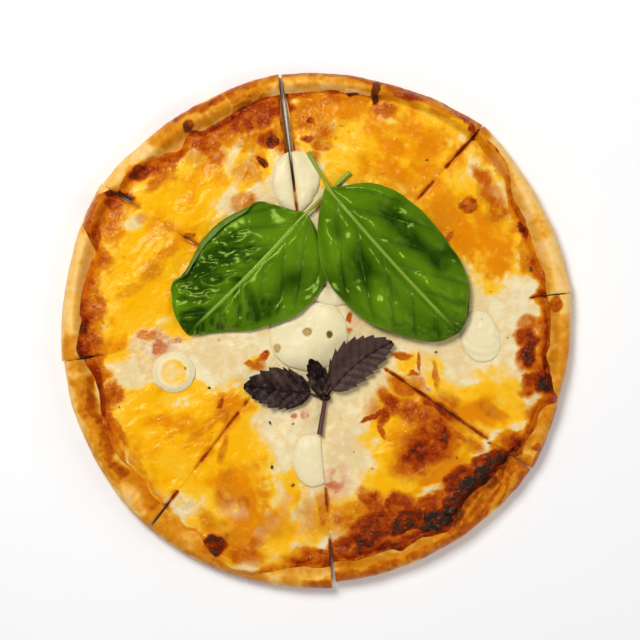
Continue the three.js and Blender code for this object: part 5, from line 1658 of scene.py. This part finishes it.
def build_herbs(pizza, material):
    """Dried herb flecks: small bent chips laid on the cheese, some at marked places, the rest scattered."""
    rng = np.random.default_rng(FLECK_SEED)
    angle = rng.uniform(0, 2 * math.pi, SCATTERED_FLECKS)
    r = FLECK_FIELD * np.sqrt(rng.uniform(0.03, 1, SCATTERED_FLECKS))
    lengths = rng.uniform(*FLECK_LENGTHS, SCATTERED_FLECKS)
    extra = np.stack([r * np.cos(angle), r * np.sin(angle), lengths], -1)
    parts = []
    for x, y, length in np.concatenate([np.array(HERB_FLECKS, float), extra]):
        turn = rng.uniform(0, math.pi)
        u, v = np.meshgrid(np.linspace(-0.5, 0.5, 5), np.linspace(-0.5, 0.5, 4), indexing="ij")
        outline = 1 - 0.35 * rng.random(u.shape) * (np.abs(u) + np.abs(v) > 0.55)
        along, across = 0.8 * u * length * outline, v * length * rng.uniform(0.25, 0.55) * outline
        fleck_x = x + along * math.cos(turn) - across * math.sin(turn)
        fleck_y = y + along * math.sin(turn) + across * math.cos(turn)
        bend = 0.12 * length * (np.abs(u) ** 2 * 2 + 0.5 * rng.random(u.shape))
        z = pizza.served_top(fleck_x, fleck_y) + FLECK_LIFT + bend
        sheet = closed_sheet(np.stack([fleck_x, fleck_y, z], -1), FLECK_THICK + 0.1 * length)
        parts.append((*sheet, [], {}))
    return make_piece("herb_flecks", *merged(parts), material, "green_leaf", [])


# ---- The add-on ----
def length(name, description, default):
    """A length in the panel."""
    return bpy.props.FloatProperty(
        name=name, description=description, default=default, unit="LENGTH", precision=4
    )


def colour(name, description, default):
    """A colour in the panel."""
    return bpy.props.FloatVectorProperty(
        name=name, description=description, default=default, size=3, min=0, max=1, subtype="COLOR"
    )


class PizzaSizes(bpy.types.PropertyGroup):
    """Sizes that can be set in the panel"""

    dough: length("Dough", "Thickness of the dough under the cheese", DOUGH * MM)
    rim_height: length("Rim height", "Height of the raised rim", RIM_HEIGHT * MM)
    cheese: length("Cheese", "Thickness of the melted cheese", CHEESE * MM)
    roughness: bpy.props.FloatProperty(
        name="Roughness", description="Strength of small lumps, bubbles and folds", default=1, min=0, max=2
    )


class PizzaColours(bpy.types.PropertyGroup):
    """Colours that can be set in the panel"""

    pale_cheese: colour("Pale cheese", "Stretched white cheese", (0.82, 0.70, 0.43))
    cream_cheese: colour("Cream cheese", "Its creamier parts", (0.75, 0.57, 0.28))
    warm_cheese: colour("Warm cheese", "Its faint yellow mottling", (0.78, 0.56, 0.22))
    yellow_cheese: colour("Yellow cheese", "Thin edges of the orange cheese", (0.89, 0.51, 0.03))
    orange_cheese: colour("Orange cheese", "Main tone of the orange cheese", (0.89, 0.43, 0.002))
    deep_cheese: colour("Deep cheese", "Where it has baked deeper", (0.72, 0.22, 0.001))
    pink_cheese: colour("Pink cheese", "Pale cheese thin over tomato", (0.72, 0.42, 0.24))
    amber: colour("Amber", "First browning", (0.62, 0.215, 0.004))
    toasted: colour("Toasted", "Golden-brown bakes", (0.51, 0.105, 0.001))
    red_brown: colour("Red-brown", "Well browned cheese", (0.31, 0.026, 0.0005))
    dark_brown: colour("Dark brown", "Nearly burnt cheese", (0.12, 0.009, 0.001))
    charred: colour("Charred", "Burnt cheese", (0.022, 0.011, 0.009))
    tomato: colour("Tomato", "Sauce that shows through", (0.50, 0.09, 0.02))
    soft_cheese: colour("Soft cheese", "The white rounds", (0.78, 0.69, 0.40))
    hole_stain: colour("Hole stain", "Oil in the holes of the rounds", (0.46, 0.29, 0.07))
    # Painted shade in the depth of the holes.
    painted_hole_shade: colour("Hole dark", "Depth of those holes", (0.13, 0.07, 0.012))
    pale_dough: colour("Pale dough", "Barely baked rim", (0.86, 0.62, 0.29))
    yellow_dough: colour("Yellow dough", "Lightly baked rim", (0.88, 0.47, 0.075))
    golden_dough: colour("Golden dough", "Golden rim", (0.66, 0.24, 0.008))
    brown_dough: colour("Brown dough", "Browned rim", (0.46, 0.09, 0.002))
    dark_dough: colour("Dark dough", "Darkest rim", (0.14, 0.03, 0.007))
    crumb: colour("Crumb", "Inside of the dough at a cut", (0.66, 0.46, 0.20))
    # Dark leaf and light leaf are mixed by the leaf's light mask, which is mostly painted light and shade.
    dark_leaf: colour("Dark leaf", "Green along the veins", (0.011, 0.040, 0.001))
    light_leaf: colour("Light leaf", "Green between the veins", (0.10, 0.215, 0.004))
    leaf_vein: colour("Leaf vein", "Midrib and stalk", (0.26, 0.36, 0.05))
    # Leaf underside also gives the painted sheen on the rolled margin's fold.
    leaf_underside: colour("Leaf underside", "Dull back of the leaf", (0.15, 0.22, 0.055))
    purple_leaf: colour("Purple leaf", "Blades of the sprig", (0.014, 0.005, 0.004))
    # The purple sheen is painted: the sprig's light mask lays it on ridges and raised fields.
    purple_sheen: colour("Purple sheen", "Its lighter ridges", (0.068, 0.035, 0.028))
    purple_stem: colour("Purple stem", "Stem of the sprig", (0.11, 0.04, 0.042))
    herb: colour("Herb", "Dried herb flecks", (0.10, 0.065, 0.010))
    floor: colour("Floor", "Plain pale floor", (0.92, 0.92, 0.92))


def build_each(context, build, paint, parts):
    """Builds some like pieces in one material, with the panel's sizes and colours."""
    pizza = Pizza(context.scene.pizza_sizes)
    material = paint(context.scene.pizza_colours)
    for part in parts:
        build(pizza, part, material)


class PIZZA_OT_crusts(bpy.types.Operator):
    """Build the baked dough of all slices"""

    bl_idname = "pizza.crusts"
    bl_label = "Crusts"

    def execute(self, context):
        build_each(context, build_crust, baked_dough, SLICES)
        return {"FINISHED"}


class PIZZA_OT_cheese(bpy.types.Operator):
    """Build the melted cheese of all slices"""

    bl_idname = "pizza.cheese"
    bl_label = "Melted cheese"

    def execute(self, context):
        build_each(context, build_cheese, melted_cheese, SLICES)
        return {"FINISHED"}


class PIZZA_OT_rounds(bpy.types.Operator):
    """Build the rounds of soft white cheese"""

    bl_idname = "pizza.rounds"
    bl_label = "Soft cheese rounds"

    def execute(self, context):
        build_each(context, build_round, soft_cheese, ROUNDS)
        return {"FINISHED"}


class PIZZA_OT_basil(bpy.types.Operator):
    """Build the two green basil leaves"""

    bl_idname = "pizza.basil"
    bl_label = "Basil leaves"

    def execute(self, context):
        build_each(context, build_basil, green_leaf, LEAVES)
        return {"FINISHED"}


class PIZZA_OT_sprig(bpy.types.Operator):
    """Build the sprig of purple basil"""

    bl_idname = "pizza.sprig"
    bl_label = "Purple sprig"

    def execute(self, context):
        build_sprig(Pizza(context.scene.pizza_sizes), purple_leaf(context.scene.pizza_colours))
        return {"FINISHED"}


class PIZZA_OT_herbs(bpy.types.Operator):
    """Scatter the dried herb flecks"""

    bl_idname = "pizza.herbs"
    bl_label = "Herb flecks"

    def execute(self, context):
        build_herbs(Pizza(context.scene.pizza_sizes), dried_herb(context.scene.pizza_colours))
        return {"FINISHED"}


def soft_light(name, place, size, power):
    """A square area light at a place in metres that faces the middle of the floor."""
    data = bpy.data.lights.new(name, "AREA")
    data.size = size
    data.energy = power
    light = bpy.data.objects.new(name, data)
    light.location = place
    x, y, z = place
    light.rotation_euler = (math.atan2(math.hypot(x, y), z), 0, math.atan2(x, -y))
    bpy.context.scene.collection.objects.link(light)


class PIZZA_OT_stage(bpy.types.Operator):
    """Lay the floor, set the lights and aim the camera straight down"""

    bl_idname = "pizza.stage"
    bl_label = "Stage"

    def execute(self, context):
        scene = context.scene
        corners = [(x * FLOOR_HALF, y * FLOOR_HALF, 0) for x, y in ((-1, -1), (1, -1), (1, 1), (-1, 1))]
        mesh = bpy.data.meshes.new("floor")
        mesh.from_pydata(corners, [], [(0, 1, 2, 3)])
        mesh.materials.append(plain_floor(scene.pizza_colours))
        floor = bpy.data.objects.new("floor", mesh)
        floor.location.z = CAD_BOX[0].z - FLOOR_DROP * MM
        scene.collection.objects.link(floor)
        for name, (place, size, power) in LAMPS.items():
            soft_light(name, place, size, power)
        scene.world = bpy.data.worlds.new("soft_room")
        scene.world.use_nodes = True
        background = scene.world.node_tree.nodes["Background"]
        background.inputs["Color"].default_value = (1, 1, 1, 1)
        background.inputs["Strength"].default_value = ROOM_LIGHT
        scene.view_settings.view_transform = "Standard"
        scene.view_settings.look = "None"
        camera_data = bpy.data.cameras.new("camera")
        distance = (CAMERA_HEIGHT - PIZZA_LEVEL) * MM
        camera_data.lens = camera_data.sensor_width * distance / (PICTURE_WIDTH * MM)
        camera_data.clip_start = NEAREST_SEEN
        camera = bpy.data.objects.new("camera", camera_data)
        x, y = PICTURE_CENTRE
        camera.location = (x * MM, y * MM, CAMERA_HEIGHT * MM)
        scene.collection.objects.link(camera)
        scene.camera = camera
        return {"FINISHED"}


OPERATORS = [
    PIZZA_OT_crusts,
    PIZZA_OT_cheese,
    PIZZA_OT_rounds,
    PIZZA_OT_basil,
    PIZZA_OT_sprig,
    PIZZA_OT_herbs,
    PIZZA_OT_stage,
]


class PIZZA_PT_panel(bpy.types.Panel):
    """The pizza's sizes, colours and pieces"""

    bl_idname = "PIZZA_PT_panel"
    bl_label = "Four cheese pizza"
    bl_space_type = "VIEW_3D"
    bl_region_type = "UI"
    bl_category = "Pizza"

    def draw(self, context):
        for group in (context.scene.pizza_sizes, context.scene.pizza_colours):
            column = self.layout.column(align=True)
            for name in group.__annotations__:
                column.prop(group, name)
        for operator in OPERATORS:
            self.layout.operator(operator.bl_idname)


CLASSES = [PizzaSizes, PizzaColours, *OPERATORS, PIZZA_PT_panel]


def register():
    """Registers the classes and hangs the settings on the scene."""
    for cls in CLASSES:
        bpy.utils.register_class(cls)
    bpy.types.Scene.pizza_sizes = bpy.props.PointerProperty(type=PizzaSizes)
    bpy.types.Scene.pizza_colours = bpy.props.PointerProperty(type=PizzaColours)


def unregister():
    """Takes the settings and the classes away again."""
    del bpy.types.Scene.pizza_colours
    del bpy.types.Scene.pizza_sizes
    for cls in reversed(CLASSES):
        bpy.utils.unregister_class(cls)


def main():
    """Builds everything."""
    register()
    for operator in OPERATORS:
        group, name = operator.bl_idname.split(".")
        getattr(getattr(bpy.ops, group), name)()


if __name__ == "__main__":
    main()
